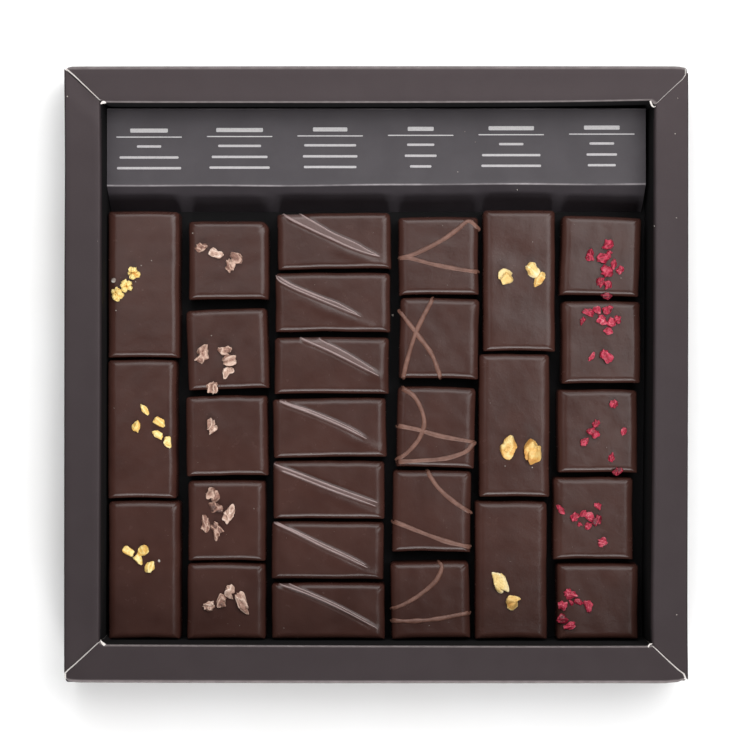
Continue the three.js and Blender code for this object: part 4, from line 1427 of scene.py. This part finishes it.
def make_dust(tops, draws):
    """Fine dust: the specks that show, and more of it thinly over the pralines."""
    directions, faces = SMALL_BALL
    places = [(np.array(place[:3]) * MM, place[3]) for place in LOOSE_SPECKS]
    for kind, number, east, north, size in SPECKS + scattered_dust(draws):
        height = tops[kind, number](east * MM, north * MM)
        places.append((middle(kind, number) + np.array([east * MM, north * MM, height]), size))
    gathering = Gathering()
    for place, size in places:
        radius = 1 + 0.2 * grain_waves(directions, draws, 3, 3)
        turn = draws.uniform(0, math.pi)
        long = size * draws.uniform(0.6, 1)
        lump = placed_lump(directions, radius, size * MM, long * MM, size * 0.5 * MM, turn)
        lift = np.array([0, 0, size * 0.1 * MM])
        gathering.add(lump + place + lift, faces, 0.5, draws.uniform(0.2, 0.9))
    gathering.piece("fine_dust", pale_dust())


# The table, the lights and the camera


def make_table():
    reach = 2.5
    corners = [(-reach, -reach, 0), (reach, -reach, 0), (reach, reach, 0), (-reach, reach, 0)]
    mesh = bpy.data.meshes.new("table")
    mesh.from_pydata(corners, [], [(0, 1, 2, 3)])
    mesh.materials.append(white_table())
    table = bpy.data.objects.new("table", mesh)
    bpy.context.scene.collection.objects.link(table)


# The soft boxes, which face the middle of the box: place in metres, width, height and watts. Then how strong
# the white round them is, and the camera: its place, and its sensor's width and its lens in millimetres.
BOX_MIDDLE = Vector((0, 0, 0.02))
SOFTBOXES = {
    "key_east": ((0.50, 0.25, 1.05), 0.56, 0.90, 6.4),
    "key_north": ((0.25, 0.55, 1.05), 0.80, 0.60, 2.0),
    "near_north_west": ((-0.14, 0.22, 0.45), 0.42, 0.42, 0.85),
    "near_north": ((0.04, 0.34, 0.39), 0.50, 0.34, 1.15),
    "low_north": ((0.0, 1.16, 0.33), 0.80, 0.24, 2.0),
    "low_south": ((0.0, -1.06, 0.58), 0.70, 0.36, 9.0),
    "low_south_east": ((0.46, -1.06, 0.36), 0.50, 0.40, 2.0),
    "high_south": ((0.0, -0.77, 0.94), 0.50, 0.40, 3.1),
    "west": ((-0.70, 0.0, 1.0), 0.80, 0.80, 0.3),
}
STUDIO_WHITE = 0.02
CAMERA = {"place": (-0.36 * MM, -0.09 * MM, 0.828), "sensor": 36, "lens": 126.3}


def softbox(name, place, width, height, watts):
    lamp = bpy.data.lights.new(name, "AREA")
    lamp.shape = "RECTANGLE"
    lamp.size = width
    lamp.size_y = height
    lamp.energy = watts
    light = bpy.data.objects.new(name, lamp)
    light.location = place
    light.rotation_euler = (BOX_MIDDLE - Vector(place)).to_track_quat("-Z", "Y").to_euler()
    bpy.context.scene.collection.objects.link(light)


def make_lights():
    for name, settings in SOFTBOXES.items():
        softbox(name, *settings)
    world = bpy.data.worlds.new("studio")
    world.use_nodes = True
    background = world.node_tree.nodes["Background"]
    background.inputs["Color"].default_value = (1, 1, 1, 1)
    background.inputs["Strength"].default_value = STUDIO_WHITE
    bpy.context.scene.world = world


def make_camera():
    lens = bpy.data.cameras.new("camera")
    lens.sensor_width = CAMERA["sensor"]
    lens.lens = CAMERA["lens"]
    camera = bpy.data.objects.new("camera", lens)
    camera.location = CAMERA["place"]
    bpy.context.scene.collection.objects.link(camera)
    bpy.context.scene.camera = camera


def main():
    make_camera()
    draws = random.Random(28)
    make_box(draws)
    make_legend_card(draws)
    make_print()
    coating = couverture("dark_couverture")
    tops = {}
    for kind, places in PLACES.items():
        for number in range(len(places)):
            tops[kind, number] = make_praline(kind, number, coating, draws)
    make_crumbs("sesame", "sesame_clusters", golden_seed(), tops, draws)
    make_crumbs("nib", "cocoa_nibs", cocoa_nib(), tops, draws)
    make_crumbs("almond", "almond_pieces", almond_nut(), tops, draws)
    make_crumbs("berry", "berry_crumbs", dried_berry(), tops, draws)
    make_strings(tops, draws)
    make_dust(tops, draws)
    make_table()
    make_lights()
    bpy.context.scene.view_settings.view_transform = "Standard"


main()
